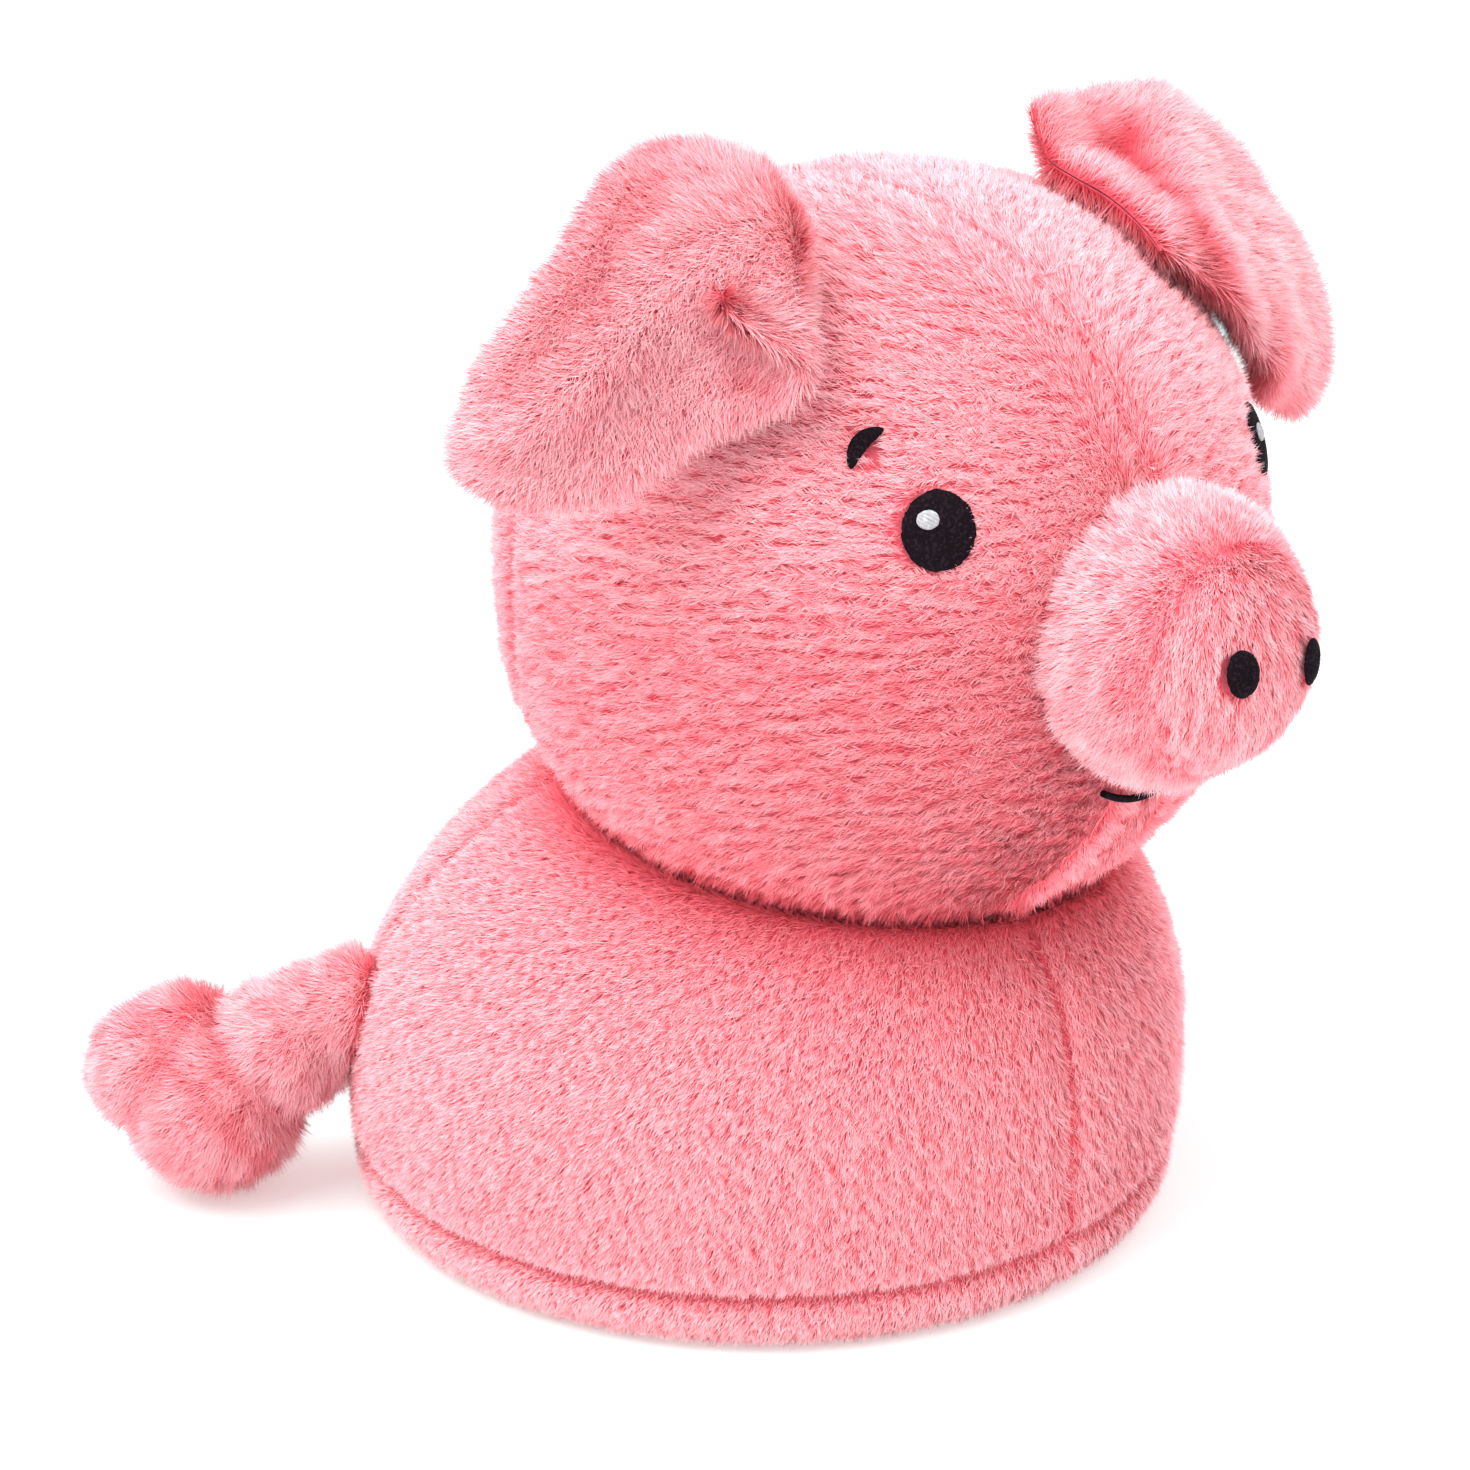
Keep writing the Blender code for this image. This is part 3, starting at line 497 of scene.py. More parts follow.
def roots(piece, count, rng):
    """Places spread evenly over a sheet, with its normal and its weft there."""
    mesh = piece.data
    mesh.calc_loop_triangles()
    corners = np.zeros(len(mesh.loop_triangles) * 3, np.int32)
    mesh.loop_triangles.foreach_get("vertices", corners)
    corners = corners.reshape(-1, 3)
    places = np.zeros(len(mesh.vertices) * 3, np.float32)
    mesh.vertices.foreach_get("co", places)
    places = places.reshape(-1, 3).astype(float)
    normals = np.zeros(len(mesh.vertices) * 3, np.float32)
    mesh.vertices.foreach_get("normal", normals)
    normals = normals.reshape(-1, 3).astype(float)
    weft = np.zeros(len(mesh.vertices) * 3, np.float32)
    if "weft" in mesh.attributes:
        mesh.attributes["weft"].data.foreach_get("vector", weft)
    weft = weft.reshape(-1, 3).astype(float)
    sides = places[corners[:, 1:]] - places[corners[:, :1]]
    areas = np.linalg.norm(np.cross(sides[:, 0], sides[:, 1]), axis=1) / 2.0
    reach = np.cumsum(areas)
    chosen = np.searchsorted(reach, rng.random(count) * reach[-1])
    chosen = corners[np.minimum(chosen, len(corners) - 1)]
    first, second = np.sqrt(rng.random(count)), rng.random(count)
    shares = np.stack((1.0 - first, first * (1.0 - second), first * second), axis=1)[:, :, None]
    return (
        np.sum(places[chosen] * shares, axis=1),
        unit(np.sum(normals[chosen] * shares, axis=1)),
        np.sum(weft[chosen] * shares, axis=1),
    )


def sheet_area(piece):
    return sum(polygon.area for polygon in piece.data.polygons)


def grow(piece, name, kind, nap, grain, body, keep=None, painted_shade=None, seed=1, calm=None):
    """Grow pile on a cover.

    nap(spots, normals, weft) gives the way that the fibres lean, grain(spots, weft) gives
    places counted in tufts, keep(spots, weft) gives each fibre's share of its length, and
    painted_shade(spots, weft) is 1 deep in a crease, where the fibres are painted darker and redder as painted
    shade. calm(spots, weft) is 1 where the tufts stand out fully and 0 where the pile is even.
    """
    rng = np.random.default_rng(seed)
    count = int(sheet_area(piece) * kind["density"] / MM**2)
    spots, normals, weft = roots(piece, count, rng)
    share = np.ones(count) if keep is None else keep(spots, weft)
    kept = share > 0.05
    spots, normals, weft, share = spots[kept], normals[kept], weft[kept], share[kept]
    count = len(spots)
    tufts = grain(spots, weft)
    height = noise(tufts, seed) * 0.7 + noise(tufts * 2.3, seed + 1) * 0.3
    if calm is not None:
        height = height * calm(spots, weft)
    along = tangent(nap(spots, normals, weft), normals)
    side = np.cross(normals, along)
    step = 0.12
    pull = np.zeros_like(spots)
    for direction in (along, side):
        moved = spots + direction * (kind["tuft"] * step)
        change = noise(grain(moved, weft), seed) - noise(tufts, seed)
        pull += direction * column(change / step)
    sway = column(rng.normal(0.0, kind["sway"], count))
    twist = column(rng.uniform(-kind["twist"], kind["twist"], count))
    lean = kind["lean"] + rng.normal(0.0, kind["spread"], count) - height * kind["ripple"]
    lean = column(np.clip(lean, 0.05, 1.45))
    flat = unit(along + side * sway)
    length = kind["length"] * share * (1.0 + kind["uneven"] * rng.normal(0.0, 1.0, count) + 0.22 * height)
    length = column(np.clip(length, 0.3 * kind["length"] * share, None))
    way = unit(normals * np.cos(lean) + flat * np.sin(lean) + pull * kind["gather"])
    rise = unit(normals * 1.2 + way)
    breadth = unit(np.cross(way, normals) + normals * twist + flat * twist * 0.5)
    outline, faces = blade(kind["rows"])
    width = column(kind["width"] * (0.7 + 0.6 * rng.random(count)))
    corners = []
    for x, y in outline:
        bend = rise * (y * (1.0 - y) * 1.2) + way * (y * (1.0 + 0.2 * (y - 1.0)))
        corners.append(spots + bend * length + breadth * width * (x * (1.0 - 0.35 * y)))
    corners = np.stack(corners, axis=1)
    corners[:, :, 2] = np.maximum(corners[:, :, 2], FLOOR_CLEARANCE)
    # Each fibre's tone varies at random. The valleys between tufts, the short pile at seams and the creases are
    # painted darker, as painted shade.
    shade = kind["shade"] + kind["contrast"] * height + rng.normal(0.0, 0.11, count)
    shade = shade * between(0.3, 1.0, share)
    if painted_shade is not None:
        shade = shade * (1.0 - 0.9 * painted_shade(spots, weft))
    shade = np.clip(shade, 0.03, 0.97)
    uv = np.stack([stacked(shade + 0.02 * x, np.full(count, y)) for x, y in outline], axis=1)
    facing = unit(unit(np.cross(breadth, way)) + normals * kind["softness"])
    facing = np.repeat(facing[:, None], len(outline), axis=1)
    return write_pile(name, corners, facing, faces, uv, kind, body)


def write_pile(name, corners, facing, faces, uv, kind, body):
    """Make the blades into a few objects, each light enough to be one piece."""
    made = []
    pieces = math.ceil(len(corners) * len(faces) / 180000)
    for k in range(pieces):
        some, some_uv = corners[k::pieces], uv[k::pieces]
        size = some.shape[1]
        index = (np.arange(len(some))[:, None, None] * size + faces[None]).reshape(-1)
        mesh = bpy.data.meshes.new(name)
        mesh.vertices.add(len(some) * size)
        mesh.vertices.foreach_set("co", some.reshape(-1).astype(np.float32))
        mesh.loops.add(len(index))
        mesh.loops.foreach_set("vertex_index", index.astype(np.int32))
        mesh.polygons.add(len(index) // 3)
        mesh.polygons.foreach_set("loop_start", np.arange(0, len(index), 3, dtype=np.int32))
        layer = mesh.uv_layers.new(name="OFBake")
        layer.data.foreach_set("uv", some_uv.reshape(-1, 2)[index].reshape(-1).astype(np.float32))
        mesh.update(calc_edges=True)
        mesh.shade_smooth()
        shading = mesh.attributes.new("custom_normal", "FLOAT_VECTOR", "POINT")
        shading.data.foreach_set("vector", facing[k::pieces].reshape(-1).astype(np.float32))
        mesh.materials.append(materials[kind["material"]])
        piece = bpy.data.objects.new(f"{name}_{'abcdefgh'[k]}" if pieces > 1 else name, mesh)
        bpy.context.scene.collection.objects.link(piece)
        attach(piece, body)
        made.append(piece)
    return made


def parted(distance, width, least=0.25):
    """The share of its length that pile keeps at a distance from a seam."""
    return between(least, 1.0, smooth(distance / width))


# Body


def seam_dip(distance):
    return np.exp(-((distance / SEAM_REACH) ** 2))


def from_seams(azimuth):
    away = [np.abs(np.remainder(azimuth - seam + math.pi, FULL_TURN) - math.pi) for seam in BODY_SEAMS]
    return np.min(away, axis=0)


def body_lean(height):
    return BODY_LEAN * np.maximum(height - BODY_WAIST, 0.0) / BODY_RISE


def body_point(azimuth, rise, inset=0.0):
    """The body's surface, drawn in at its seams."""
    azimuth, rise = np.broadcast_arrays(azimuth, rise)
    out = np.full(azimuth.shape, BODY_RADIUS - inset)
    above = rise >= 0.0
    blunt = 2.0 / BASE_SQUARENESS
    sine, cosine = np.abs(np.sin(rise)), np.maximum(np.cos(rise), 0.0)
    height = np.where(
        above,
        BODY_WAIST + (BODY_RISE - inset) * sine,
        BODY_WAIST - (BASE_DEPTH - inset) * sine**blunt,
    )
    out = out * np.where(above, cosine, cosine**blunt)
    at_side = smooth((height - BASE_SEAM) / BASE_SEAM)
    dip = seam_dip(from_seams(azimuth) * out) * at_side + seam_dip(height - BASE_SEAM)
    out = out - BODY_SEAM_DEPTH * np.minimum(dip, 1.0)
    height = np.maximum(height, inset)
    return stacked(-out * np.sin(azimuth), -body_lean(height) - out * np.cos(azimuth), height)


def ball_radius():
    return HEAD_RADIUS + JOWL_SWELL


def collar_rise(azimuth, inset):
    """Where the body's cloth meets the hollow that the head sits in."""
    reach = ball_radius() + COLLAR_GAP

    def is_past(rise):
        return np.linalg.norm(body_point(azimuth, rise, inset) - HEAD_CENTRE, axis=-1) < reach

    return solve(is_past, np.zeros(len(azimuth)), math.pi / 2)


def base_rise(height, inset):
    return -float(solve(lambda fall: body_point(0.0, -fall, inset)[..., 2] < height, 0.0, math.pi / 2))


def body_sheet(start, end, across):
    """An upright panel, whose top edge is turned in under the head."""
    low = base_rise(BASE_SEAM + WELD * 5.0, PILE)

    def place(s, t):
        azimuth = between(start, end, s)
        high = collar_rise(azimuth, PILE)
        outer = body_point(azimuth, between(low, high, np.minimum(t / 0.88, 1.0)), PILE)
        from_head = body_point(azimuth, high, PILE) - HEAD_CENTRE
        fall = np.arctan2(np.linalg.norm(from_head[:, :2], axis=1), -from_head[:, 2])
        turned = fall - LIP_ANGLE * np.maximum(t - 0.88, 0.0) / 0.12
        level = unit(from_head * np.array((1.0, 1.0, 0.0)))
        reach = ball_radius() + COLLAR_GAP
        lip = HEAD_CENTRE + (level * column(np.sin(turned)) - UP * column(np.cos(turned))) * reach
        return np.where(column(t) > 0.88, lip, outer)

    return bent_sheet(across, 40, place, (0.0, 0.0, BODY_WAIST))


def body_nap(spots, normals, weft):
    """The body's pile lies downwards and a little backwards."""
    around = unit(np.cross(UP, spots * np.array((1.0, 1.0, 0.0))))
    backwards = around * column(np.tanh(spots[:, 0] / NAP_TURN))
    azimuth = np.arctan2(-spots[:, 0], -spots[:, 1] - body_lean(spots[:, 2]))
    away = np.zeros(len(spots))
    for seam in BODY_SEAMS:
        turn = np.remainder(azimuth - seam + math.pi, FULL_TURN) - math.pi
        away += np.sign(turn) * np.exp(-((turn * BODY_RADIUS / SEAM_PART_REACH) ** 2))
    return -UP + backwards * column(0.55 * (1.0 - np.abs(away))) - around * column(0.6 * away)


def body_grain(spots, weft):
    """Tufts about three times as long as they are wide, along the nap."""
    turn = np.arctan2(spots[:, 0], -spots[:, 1])
    twist = -0.55 * np.tanh(spots[:, 0] / NAP_TURN) * spots[:, 2] / BODY_RADIUS
    out = np.linalg.norm(spots[:, :2], axis=1)
    angle = turn + twist
    return stacked(
        out * np.sin(angle) / (0.55 * MM),
        out * np.cos(angle) / (0.55 * MM),
        spots[:, 2] / (1.5 * MM),
    )


def body_keep(spots, weft):
    """Short pile at the seams, and none on the lip that is hidden under the head."""
    level = spots[:, 1] + body_lean(spots[:, 2])
    out = np.hypot(spots[:, 0], level)
    share = parted(from_seams(np.arctan2(-spots[:, 0], -level)) * out, 1.3 * MM, 0.3)
    share = share * parted(np.abs(spots[:, 2] - BASE_SEAM), 1.4 * MM, 0.2)
    return share * (1.0 - smooth((weft[:, 1] - 0.96) / 0.03))


def body_painted_shade(spots, weft):
    """Painted shade: the crease under the head, and the lines of the seams."""
    clear = np.linalg.norm(spots - HEAD_CENTRE, axis=1) - ball_radius()
    level = spots[:, 1] + body_lean(spots[:, 2])
    seam = from_seams(np.arctan2(-spots[:, 0], -level)) * np.hypot(spots[:, 0], level)
    line = np.exp(-((seam / SEAM_LINE) ** 2)) + np.exp(-(((spots[:, 2] - BASE_SEAM) / SEAM_LINE) ** 2))
    return np.clip(np.exp(-np.maximum(clear, 0.0) / (2.0 * CREASE_REACH)) + 0.5 * line, 0.0, 1.0)


def make_body():
    panels = (
        ("chest", -CHEST_SEAM_ANGLE, CHEST_SEAM_ANGLE, 36, ["chest_panel"]),
        ("side_right", CHEST_SEAM_ANGLE, BACK_SEAM_ANGLE, 70, ["side_panel_right"]),
        ("side_left", BACK_SEAM_ANGLE - FULL_TURN, -CHEST_SEAM_ANGLE, 84, ["side_panel_left"]),
    )
    for seed, (word, start, end, across, nodes) in enumerate(panels, 11):
        piece = cover(f"{word}_cloth", body_sheet(start, end, across), "body", nodes)
        grow(piece, f"{word}_pile", FINE, body_nap, body_grain, "body", body_keep, body_painted_shade, seed)
    high = base_rise(BASE_SEAM - WELD * 5.0, PILE)

    def place(s, t):
        return body_point(FULL_TURN * s, between(high, -math.pi / 2, t**1.5), PILE)

    bm = bent_sheet(120, 24, place, (0.0, 0.0, BODY_WAIST))
    piece = cover("base_cloth", bm, "body", ["base_panel"])

    def keep(spots, weft):
        near_rim = 1.0 - smooth((0.8 - np.linalg.norm(spots[:, :2], axis=1) / BODY_RADIUS) / 0.1)
        return near_rim * parted(np.abs(spots[:, 2] - BASE_SEAM), 1.3 * MM) * 0.8

    # The base band's fibres are paler: painted light from the floor below.
    grow(piece, "base_pile", dict(FINE, shade=0.85), body_nap, body_grain, "body", keep, seed=14)


# Head


HEAD_AXES = np.array(
    (
        (math.cos(HEAD_TURN), -math.sin(HEAD_TURN), 0.0),
        (math.sin(HEAD_TURN), math.cos(HEAD_TURN), 0.0),
        (0.0, 0.0, 1.0),
    )
)


def from_head(spots):
    """From the head's own axes, with its face towards -Y, to the model's."""
    return spots @ HEAD_AXES + HEAD_CENTRE


def to_head(spots):
    return (spots - HEAD_CENTRE) @ HEAD_AXES.T


def head_radius(directions):
    elevation = np.arcsin(np.clip(directions[..., 2], -1.0, 1.0))
    jowl = smooth((JOWL_TOP - elevation) / JOWL_SPREAD)
    crown = smooth((elevation - CROWN_START) / (math.pi / 2 - CROWN_START))
    return HEAD_RADIUS + JOWL_SWELL * jowl - CROWN_DROP * crown


def facing_direction(angle, elevation):
    level = np.multiply.outer(np.cos(angle), FORWARD) + np.multiply.outer(np.sin(angle), RIGHT)
    angle, elevation = np.broadcast_arrays(angle, elevation)
    return level * np.cos(elevation)[..., None] + np.multiply.outer(np.sin(elevation), UP)


def head_point(polar, roll, inset=0.0):
    """The head's surface in its own axes, drawn in at its seams."""
    across = np.multiply.outer(np.cos(roll), UP) + np.multiply.outer(np.sin(roll), RIGHT)
    directions = np.multiply.outer(np.cos(polar), FORWARD) + across * column(np.sin(polar))
    reach = head_radius(directions) - inset
    side = np.abs(directions[:, 0] * reach)
    dip = seam_dip(side) + seam_dip((polar - NAPE_SEAM_ANGLE) * HEAD_RADIUS)
    return directions * column(reach - HEAD_SEAM_DEPTH * np.minimum(dip, 1.0))


def opening_polar(lateral, roll):
    def is_past(polar):
        spots = head_point(polar, roll, PILE)
        return np.linalg.norm(spots, axis=1) * np.sin(polar) > lateral

    return solve(is_past, np.full(len(roll), 0.01), math.pi / 2)


def head_axis(spots):
    """The axis that the pile lies round, on each half of the head, in the head's axes."""
    side = np.where(spots[:, 0] < 0.0, 1.0, -1.0)
    return unit(stacked(side * 0.20, 0.24, 0.95))


def head_crease(spots):
    """1 where the head meets the body, and less above."""
    out = np.hypot(spots[:, 0], spots[:, 1] + body_lean(spots[:, 2])) / BODY_RADIUS
    rise = (spots[:, 2] - BODY_WAIST) / BODY_RISE
    clear = (np.hypot(out, rise) - 1.0) * BODY_RISE
    return np.exp(-np.maximum(clear, 0.0) / CREASE_REACH)


def head_nap(spots, normals, weft):
    """The head's pile lies level, away from the snout, and turns down in the middle of the nape."""
    local = to_head(spots)
    middle = np.where(column(local[:, 1]) > 0.0, unit(np.cross(RIGHT, local)), -FORWARD)
    level = np.cross(local, head_axis(local))
    level = unit(level * np.where(column(level[:, 1]) < 0.0, -1.0, 1.0))
    beside = column(smooth(np.abs(local[:, 0]) / SEAM_NAP_REACH))
    hang = head_crease(spots) * 1.6
    return (between(middle, level, beside) - UP * column(hang)) @ HEAD_AXES


def head_grain(spots, weft):
    """Tufts drawn out along the lie of the pile."""
    local = to_head(spots)
    axis = head_axis(local)
    rise = np.sum(local * axis, axis=1)
    flat = local - axis * column(rise)
    turn = np.arctan2(flat[:, 0], flat[:, 1])
    return stacked(turn * HEAD_RADIUS / (2.5 * MM), rise / (0.52 * MM), np.sign(local[:, 0]) * 9.0)


def stitch_pits(along, across):
    """From 0 to 1 in the middle of each stitch of a hand-sewn seam."""
    phase = (along / STITCH_PITCH + HALF_SHARE) % 1.0 - HALF_SHARE
    return np.exp(-((phase * STITCH_PITCH / STITCH_REACH) ** 2) - (across / STITCH_REACH) ** 2)


def head_polar(local):
    return np.arccos(np.clip(-local[:, 1] / np.linalg.norm(local, axis=1), -1.0, 1.0))


def head_seams(local):
    """The share of pile left at the middle seam and at the nape seam, with their stitches."""
    polar = head_polar(local)
    nape = (polar - NAPE_SEAM_ANGLE) * HEAD_RADIUS
    middle = np.where(nape < 0.0, np.abs(local[:, 0]), 1.0)
    roll = np.arctan2(local[:, 0], local[:, 2]) * HEAD_RADIUS
    share = parted(middle, 0.9 * MM, 0.4) * parted(np.abs(nape), 1.3 * MM, 0.35)
    share = share * (1.0 - 0.9 * stitch_pits(polar * HEAD_RADIUS, middle))
    return share * (1.0 - 0.8 * stitch_pits(roll, nape))


def head_painted_shade(spots, weft):
    """Painted shade: the crease above the body, the cheeks, and the stitches of the seams."""
    local = to_head(spots)
    cheek = (1.0 - smooth((local[:, 2] / HEAD_RADIUS + 0.1) / 0.5)) * 0.36
    return np.clip(head_crease(spots) * 0.9 + cheek + (1.0 - head_seams(local)) * 0.8, 0.0, 1.0)


def head_calm(spots, weft):
    """The forehead is evener than the cheeks."""
    return between(1.0, 0.4, smooth(to_head(spots)[:, 2] / (0.75 * HEAD_RADIUS)))


def head_keep(spots, weft):
    """Trim the pile under the embroidery, at the seams and where the body hides it."""
    local = to_head(spots)
    share = head_seams(local)
    directions = unit(local)
    for side in (1.0, -1.0):
        for middle, wide, high, slope, arch in (
            ((EYE_ANGLES[side], EYE_ELEVATIONS[side]), EYE_WIDTH, EYE_HEIGHT, 0.0, 0.0),
            ((BROW_ANGLES[side], BROW_ELEVATION), BROW_LENGTH, BROW_WIDTH, BROW_SLOPE, BROW_ARCH),
        ):
            centre = facing_direction(side * middle[0], middle[1])
            right = unit(np.cross(centre, UP)) * side
            rise = np.cross(right, centre) * side
            across = directions @ right * HEAD_RADIUS
            up = directions @ rise * HEAD_RADIUS
            run = across * math.cos(slope) + up * math.sin(slope)
            bow = up * math.cos(slope) - across * math.sin(slope)
            bow = bow - arch * (1.0 - (2.0 * run / wide) ** 2)
            inside = (2.0 * run / wide) ** 2 + (2.0 * bow / high) ** 2
            facing = directions @ centre > 0.0
            share = np.where(facing, share * smooth((inside - 0.8) / 0.7), share)
    share = share * (1.0 + 0.5 * head_crease(spots))
    return np.where(local[:, 2] < -0.82 * HEAD_RADIUS, 0.0, share)


def on_head(angle, elevation, lift):
    """A function that lays an offset across and up, in metres, on the head."""

    def place(across, up):
        turned = angle - across / (HEAD_RADIUS * math.cos(elevation))
        directions = facing_direction(turned, elevation + up / HEAD_RADIUS)
        return from_head(directions * (head_radius(directions) + lift)[..., None])

    return place


def make_head():
    for side, word, seed in ((1.0, "right", 21), (-1.0, "left", 22)):

        def place(s, t):
            roll = math.pi * s
            opening = opening_polar(SNOUT_BASE_RADIUS - PILE, roll)
            return from_head(head_point(between(opening, NAPE_SEAM_ANGLE, t), side * roll, PILE))

        bm = bent_sheet(90, 64, place, HEAD_CENTRE)
        piece = cover(f"head_cloth_{word}", bm, "head", [f"head_panel_{word}"])
        grow(piece, f"head_pile_{word}", SHORT, head_nap, head_grain, "head", head_keep, head_painted_shade, seed, head_calm)

    def nape(s, t):
        return from_head(head_point(between(NAPE_SEAM_ANGLE, math.pi, t), FULL_TURN * s, PILE))

    piece = cover("nape_cloth", bent_sheet(140, 36, nape, HEAD_CENTRE), "head", ["head_back_panel"])
    grow(piece, "nape_pile", SHORT, head_nap, head_grain, "head", head_keep, head_painted_shade, 23, head_calm)


# Snout


def dome_reach(lateral, inset=0.0):
    radius = (SNOUT_RIM_RADIUS**2 + SNOUT_DOME**2) / (2.0 * SNOUT_DOME)
    return SNOUT_REACH + SNOUT_DOME - radius + np.sqrt((radius - inset) ** 2 - lateral**2)


def snout_place(forward, lateral, roll):
    across = np.multiply.outer(np.cos(roll), UP) + np.multiply.outer(np.sin(roll), RIGHT)
    return from_head(np.multiply.outer(forward, FORWARD) + across * column(lateral))


def snout_nap(spots, normals, weft):
    return np.broadcast_to(-FORWARD @ HEAD_AXES - UP * 0.7, spots.shape)


def disc_nap(spots, normals, weft):
    return np.broadcast_to(-UP + RIGHT @ HEAD_AXES * 0.3, spots.shape)


def soft_grain(size, stretch):
    """Tufts of one size that are drawn out along the nap."""

    def grain(spots, weft):
        return spots / (size * np.array((1.0, 1.0, stretch)))

    return grain


def wall_keep(spots, weft):
    """Shorter pile towards the seam round the disc."""
    return between(0.6, 1.0, smooth((0.97 - weft[:, 1]) / 0.25))


def disc_keep(spots, weft):
    """Trim the pile under the nostrils."""
    local = to_head(spots)
    line = RIGHT * math.cos(NOSTRIL_TILT) + UP * math.sin(NOSTRIL_TILT)
    share = np.ones(len(spots))
    for side in (1.0, -1.0):
        middle = line * (side * NOSTRIL_SPACING / 2.0) + UP * NOSTRIL_RISE
        off = local - middle
        inside = (2.0 * off[:, 0] / NOSTRIL_WIDTH) ** 2 + (2.0 * off[:, 2] / NOSTRIL_HEIGHT) ** 2
        share *= smooth((inside - 0.7) / 0.5)
    lateral = np.hypot(local[:, 0], local[:, 2])
    return share * parted(SNOUT_RIM_RADIUS - PILE - lateral, 1.6 * MM, 0.3)


def make_snout():
    base, rim = SNOUT_BASE_RADIUS - PILE, SNOUT_RIM_RADIUS - PILE

    def wall(s, t):
        roll = FULL_TURN * s
        polar = opening_polar(base, roll)
        back = np.linalg.norm(head_point(polar, roll, PILE), axis=1) * np.cos(polar)
        lateral = between(base, rim, t) + SNOUT_SWELL * np.sin(math.pi * t)
        lateral = lateral - RIM_SEAM_DEPTH * smooth((t - 0.85) / 0.15)
        return snout_place(between(back, SNOUT_REACH - 0.3 * MM, t), lateral, roll)

    middle = from_head(FORWARD[None] * SNOUT_REACH)[0]
    bm = bent_sheet(90, 24, wall, middle)
    piece = cover("snout_wall_cloth", bm, "head", ["snout_wall"])
    grow(piece, "snout_wall_pile", WALL_PILE, snout_nap, soft_grain(1.5 * MM, 1.6), "head", wall_keep, seed=31)

    def disc(s, t):
        lateral = rim * np.sin((1.0 - t) * math.pi / 2)
        sunk = RIM_SEAM_DEPTH * np.exp(-((1.0 - lateral / rim) * rim / SEAM_REACH) ** 2)
        return snout_place(dome_reach(lateral, PILE) - sunk, lateral, FULL_TURN * s)

    bm = bent_sheet(90, 24, disc, HEAD_CENTRE)
    piece = cover("snout_disc_cloth", bm, "head", ["snout_disc"])
    grow(piece, "snout_disc_pile", DISC, disc_nap, soft_grain(1.2 * MM, 2.0), "head", disc_keep, seed=32)


# Ears


def bezier(points, t):
    a, b, c, d = points
    t = column(t)
    u = 1.0 - t
    at = a * u**3 + b * 3.0 * u * u * t + c * 3.0 * u * t * t + d * t**3
    way = (b - a) * u * u + (c - b) * 2.0 * u * t + (d - c) * t * t
    return at, unit(way)


def ear_frame(side, shares):
    return FORWARD * shares[0] + RIGHT * (side * shares[1]) + UP * shares[2]


def stepped(pairs, t):
    """A value that passes smoothly through (t, value) pairs."""
    value = np.full((len(t), np.size(pairs[0][1])), pairs[0][1], float)
    for (start, low), (end, high) in zip(pairs, pairs[1:]):
        share = column(smooth((t - start) / (end - start)))
        value = np.where(column(t) >= start, between(np.array(low), np.array(high), share), value)
    return value


def keep_off_head(spots):
    directions = unit(spots)
    reach = np.linalg.norm(spots, axis=1)
    least = head_radius(directions) + EAR_ROOT_GAP + EAR_LAYER
    over = reach - least
    return directions * column(least + (over + np.hypot(over, EAR_REST_SOFTNESS)) / 2.0)


def fold_lift(folds, s, t):
    """How far the folds raise the ear's upper side. Each runs from one (s, t) to another."""
    span = np.array((EAR_SPAN, EAR_LENGTH))
    spots = stacked(s, t) * span
    lift = np.zeros(len(s))
    for start, end, width, height in folds:
        start = np.array(start) * span
        line = np.array(end) * span - start
        along = np.clip((spots - start) @ line / (line @ line), 0.0, 1.0)
        away = np.linalg.norm(spots - start - np.outer(along, line), axis=1)
        lift += height * MM * np.exp(-((away / (width * MM)) ** 2))
    return lift


def ear_root(ear):
    direction = facing_direction(ear["side"] * EAR_ANGLE, EAR_ELEVATION)
    return direction * (head_radius(direction) + EAR_ROOT_GAP)


def ear_middle(ear, s, t):
    """The surface between an ear's two cloths, in the head's axes."""
    side = ear["side"]
    root = ear_root(ear)
    line = [root] + [root + ear_frame(side, shares) * EAR_LENGTH for shares in ear["bends"]]
    at, way = bezier(line, t)
    shares = stepped(ear["runs"], t)
    run = np.outer(shares[:, 0], FORWARD) + np.outer(shares[:, 1] * side, RIGHT) + np.outer(shares[:, 2], UP)
    run = tangent(run, way)
    out = np.cross(way, run) * -side
    across = 2.0 * s - 1.0
    widths = np.where(column(across) > 0.0, stepped(ear["front"], t), stepped(ear["back"], t))[:, 0] * MM
    widths = widths * np.sqrt(1.0 - 0.9 * np.clip((t - 0.25) / 0.75, 0.0, 1.0) ** 6)
    shift = stepped(ear["shift"], t)[:, 0] * MM
    bulge = stepped(ear["bulge"], t)[:, 0] * MM * (1.0 - across**2)
    lift = fold_lift(ear["folds"], s, t) + EAR_CUP * across * across * (1.0 - t) + bulge
    return keep_off_head(at + run * column(across * widths) + way * column(shift) - out * column(lift))


def ear_point(ear, s, t, lift):
    across = ear_middle(ear, s + EAR_STEP_SHARE, t) - ear_middle(ear, s - EAR_STEP_SHARE, t)
    along = ear_middle(ear, s, t + EAR_STEP_SHARE) - ear_middle(ear, s, t - EAR_STEP_SHARE)
    out = unit(np.cross(across, along)) * ear["side"]
    return from_head(ear_middle(ear, s, t) + out * column(lift))


